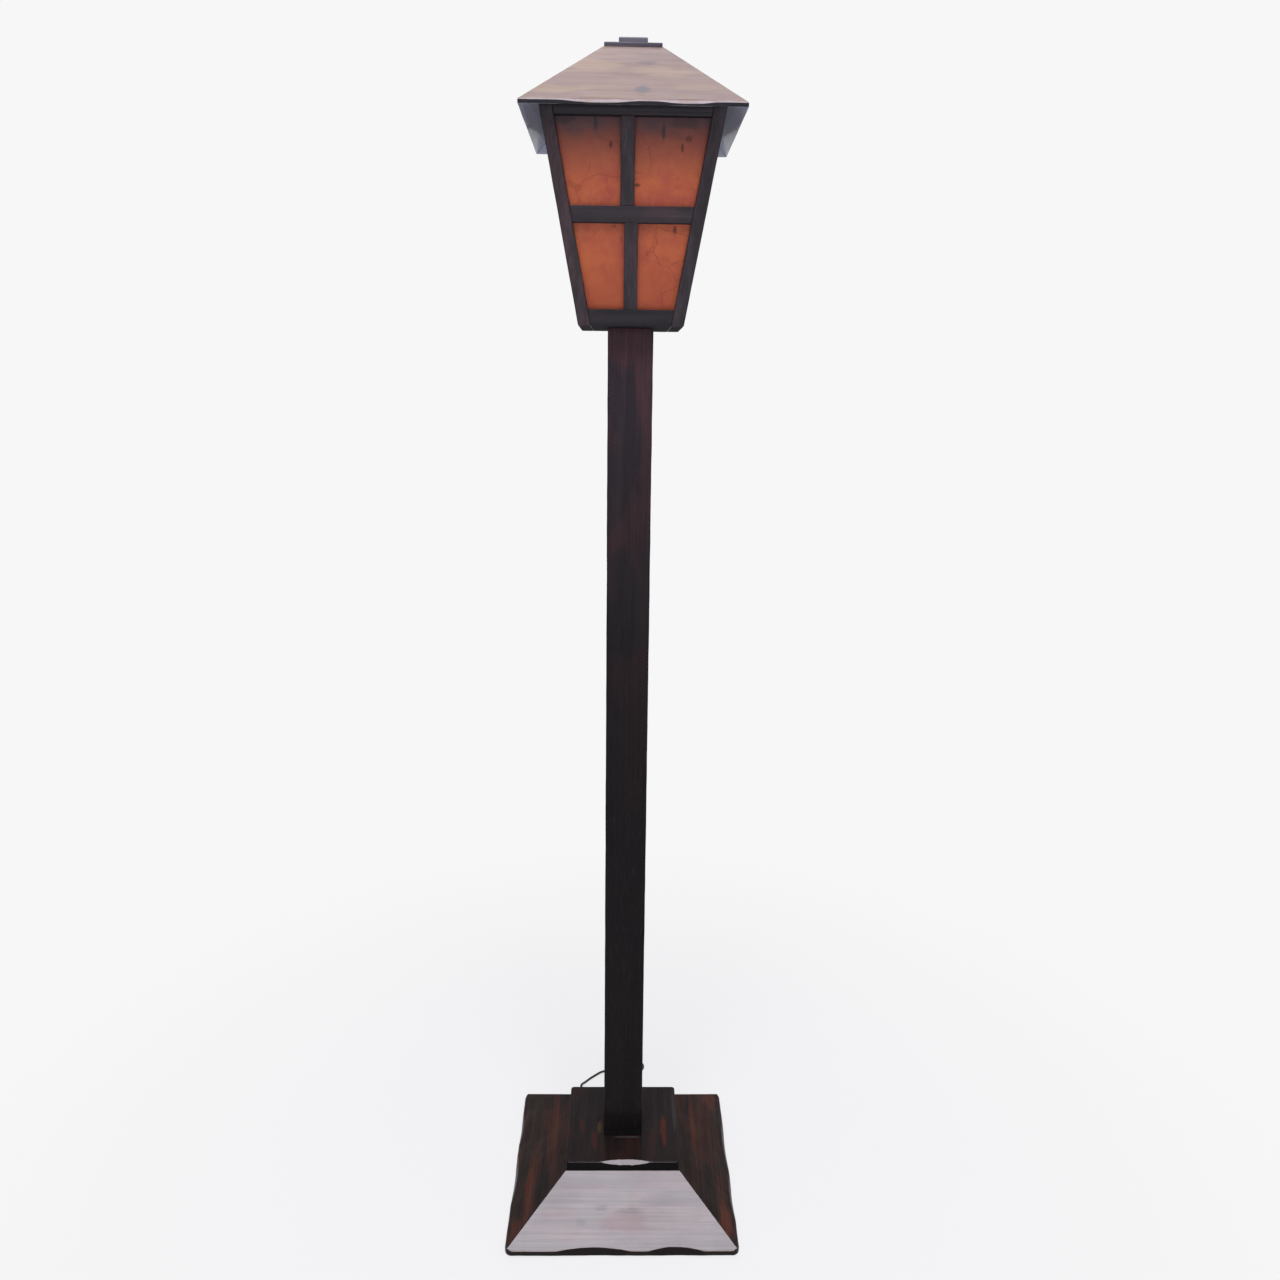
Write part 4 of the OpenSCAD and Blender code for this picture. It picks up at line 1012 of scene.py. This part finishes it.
CORNERS = ["front_left", "front_right", "back_right", "back_left"]
for k, corner in enumerate(CORNERS):
    node = corner + "_post"
    hewn_bar(corner + "_stile", node_corners(node), HEWN["stile"], 51 + k, "lamp",
             [node], "black_wood", MATERIALS["frame_z"])
for side, word in enumerate(SIDES):
    axis = "x" if side % 2 == 0 else "y"
    for rail in ("bottom", "top"):
        node = f"{word}_{rail}_rail"
        hewn_bar(f"{word}_{rail}_bar", node_corners(node), HEWN["rail"], 61 + side, "lamp",
                 [node], "black_wood", MATERIALS["frame_" + axis])
    hewn_bar(word + "_mica", node_corners(word + "_pane"), HEWN["pane"], 71 + side, "lamp",
             [word + "_pane"], "amber_pane", MATERIALS["pane"])


def lantern_half(z):
    """Half the lantern's outer width at a height."""
    return LANTERN_HALF + LEAN * (z - LANTERN_Z)


def side_corners(side, x_low, x_high, z0, z1):
    """Corners of a bar in one side. x_low and x_high say from where to where along the side it
    goes, at its lower and its upper end."""
    corners = []
    for z, xs in ((z0, x_low), (z1, x_high)):
        for depth in (0, MUNTIN):
            corners += [turned((x, depth - lantern_half(z), z), side) for x in xs]
    return corners


def make_muntins(side, word):
    """The cross bar of one side and the upright above and below it, as one piece."""
    low, high = (lantern_half(z) - STILE for z in (CROSS_LOW, CROSS_TOP))
    half = UPRIGHT_W / 2
    upper = (UPPER_SHIFT - half, UPPER_SHIFT + half)
    lower = (LOWER_SHIFT - half, LOWER_SHIFT + half)
    radius, cell, depth = HEWN["muntin"]
    bars = [
        ((-low, low), (-high, high), CROSS_LOW, CROSS_TOP),
        (upper, upper, CROSS_TOP, PANE_TOP),
        (lower, lower, PANE_LOW, CROSS_LOW)
    ]
    surface = join_surfaces([
        block_surface(side_corners(side, *bar), radius, cell) for bar in bars
    ])
    piece = finish_piece(word + "_muntin_bars", surface, depth, 81 + side,
                         ("lamp", [word + "_muntins"], "black_wood", MATERIALS["frame_z"], None))
    piece.data.materials.append(MATERIALS["cross_x" if side % 2 == 0 else "cross_y"])
    for polygon in piece.data.polygons:
        if CROSS_LOW - 0.0005 < polygon.center.z < CROSS_TOP + 0.0005:
            polygon.material_index = 1


for side, word in enumerate(SIDES):
    make_muntins(side, word)

# ---------------- finishes of the other nodes

FINISHES = {
    "raw": ["base_core", "corner_blocks", "base_panel", "tenon_dowels", "roof_frame", "king_block"],
    "frame_x": ["pane_beads", "lantern_floor"],
    "steel": ["wood_screws", "cap_screw"],
    "felt": ["felt_pads"],
    "porcelain": ["holder_body", "holder_skirt"],
    "brass": ["holder_contacts", "plug_pins"],
    "bulb": ["bulb_glass"],
    "bulb_cap": ["bulb_cap"],
    "lead": ["inner_lead"],
    "plastic": ["cord_gland", "coil_tie", "switch_base", "switch_cover", "switch_rocker",
                "plug_body"],
}
for finish, nodes in FINISHES.items():
    for node in nodes:
        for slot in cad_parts[node].material_slots:
            slot.material = MATERIALS[finish]

# ---------------- floor, world and lamps

BACKGROUND = linear(247, 247, 247)
# What the studio's walls give to other light than the camera's own
WALLS = linear(232, 236, 246)
LAMP_COLOUR = (0.97, 0.91, 1.0)
FLOOR_REACH = 20
# How bright the walls are as plain light
WALL_LIGHT = 0.42
# Softboxes: place, the point that each is aimed at, width, depth and radiance
SOFTBOXES = {
    "front_softbox": ((0, -4.6, 7.7), (0, 0, 0.2), 5.2, 5.0, 6.7),
    "low_softbox": ((0, -4.2, 1.1), (0, 0, 1.0), 3.0, 2.2, 0.9),
    "back_softbox": ((0, 1.3, 3.9), (0, 0, 1.2), 2.0, 1.2, 1.8)
}


def make_room_group():
    """How bright the room is in a direction, as reflections show it: pale behind the lamp, darker
    overhead, in front and at the sides."""
    group, n, i, o = new_group(
        "room_brightness", [("Direction", VECTOR, None)], [("Brightness", VALUE)]
    )
    direction = n.apart(i["Direction"])
    low = n.span(direction["Z"], 0.3, 0.6, 1.0, 0.1)
    behind = n.span(direction["Y"], -0.75, -0.2, 0.18, 1.0)
    aside = n.span(n.math("ABSOLUTE", direction["X"]), 0.36, 0.56, 1.0, 0.04)
    n.put(n.times(n.times(low, behind), aside), o["Brightness"])
    return group


ROOM = make_room_group()


def make_floor():
    """A wide pale floor that keeps the lamp's shadow and fades into the background."""
    mesh = bpy.data.meshes.new("floor")
    r = FLOOR_REACH
    mesh.from_pydata([(-r, -r, 0), (r, -r, 0), (r, r, 0), (-r, r, 0)], [], [(0, 1, 2, 3)])
    floor = new_object("floor", mesh)
    material, n, shader = start_material("floor_paint")
    n.fill(shader.inputs, Base_Color=(0.85, 0.85, 0.85, 1), Roughness=0.9, Specular_IOR_Level=0.1)
    path = n.add("ShaderNodeLightPath").outputs
    place = n.place()
    mirrored = n.math("MAXIMUM", path["Is Glossy Ray"], path["Is Transmission Ray"])
    away = n.vector("LENGTH", place)
    far = n.span(away, 0.25, 0.8)
    room = use_group(n, ROOM, Direction=n.vector("NORMALIZE", place))["Brightness"]
    mirrored = n.less(mirrored, n.times(far, n.math("SUBTRACT", 1.0, room)), 1.0)
    seen = n.math("MAXIMUM", path["Is Camera Ray"], mirrored)
    glow = n.add("ShaderNodeEmission")
    n.fill(glow.inputs, Color=BACKGROUND, Strength=1.0)
    both = n.add("ShaderNodeMixShader")
    n.put(n.times(seen, n.span(away, 0.3, 1.3, 0.72, 1.0)), both.inputs[0])
    n.put(shader.outputs[0], both.inputs[1])
    n.put(glow.outputs[0], both.inputs[2])
    output = next(x for x in n.tree.nodes if x.type == "OUTPUT_MATERIAL")
    n.put(both.outputs[0], output.inputs["Surface"])
    mesh.materials.append(material)


def make_world():
    """Even light, and the pale background for what looks at it directly or in a reflection."""
    world = bpy.data.worlds.new("studio")
    world.use_nodes = True
    bpy.context.scene.world = world
    tree = world.node_tree
    tree.nodes.clear()
    n = Nodes(tree)
    path = n.add("ShaderNodeLightPath").outputs
    direction = n.add("ShaderNodeTexCoord").outputs["Generated"]
    mirrored = use_group(n, ROOM, Direction=direction)["Brightness"]
    looked = n.math("MAXIMUM", path["Is Glossy Ray"], path["Is Transmission Ray"])
    strength = n.plus(n.times(looked, mirrored),
                      n.times(n.math("SUBTRACT", 1.0, looked), WALL_LIGHT))
    background = n.add("ShaderNodeBackground")
    n.fill(background.inputs, Color=n.mix(path["Is Camera Ray"], WALLS, BACKGROUND),
           Strength=n.math("MAXIMUM", strength, path["Is Camera Ray"]))
    n.put(background.outputs[0], n.add("ShaderNodeOutputWorld").inputs["Surface"])


def make_softbox(name, place, target, width, depth, radiance):
    """A rectangular soft lamp, aimed at a point, of a given brightness."""
    data = bpy.data.lights.new(name, "AREA")
    data.shape = "RECTANGLE"
    data.size, data.size_y = width, depth
    data.color = LAMP_COLOUR
    data.energy = radiance * math.pi * width * depth
    lamp = new_object(name, data)
    aim = Vector(target) - Vector(place)
    turn = aim.to_track_quat("-Z", "Y").to_matrix().to_4x4()
    lamp.matrix_world = Matrix.Translation(place) @ turn
    lamp.visible_camera = False


make_floor()
make_world()
for name, settings in SOFTBOXES.items():
    make_softbox(name, *settings)

bpy.context.scene.view_settings.view_transform = "Standard"
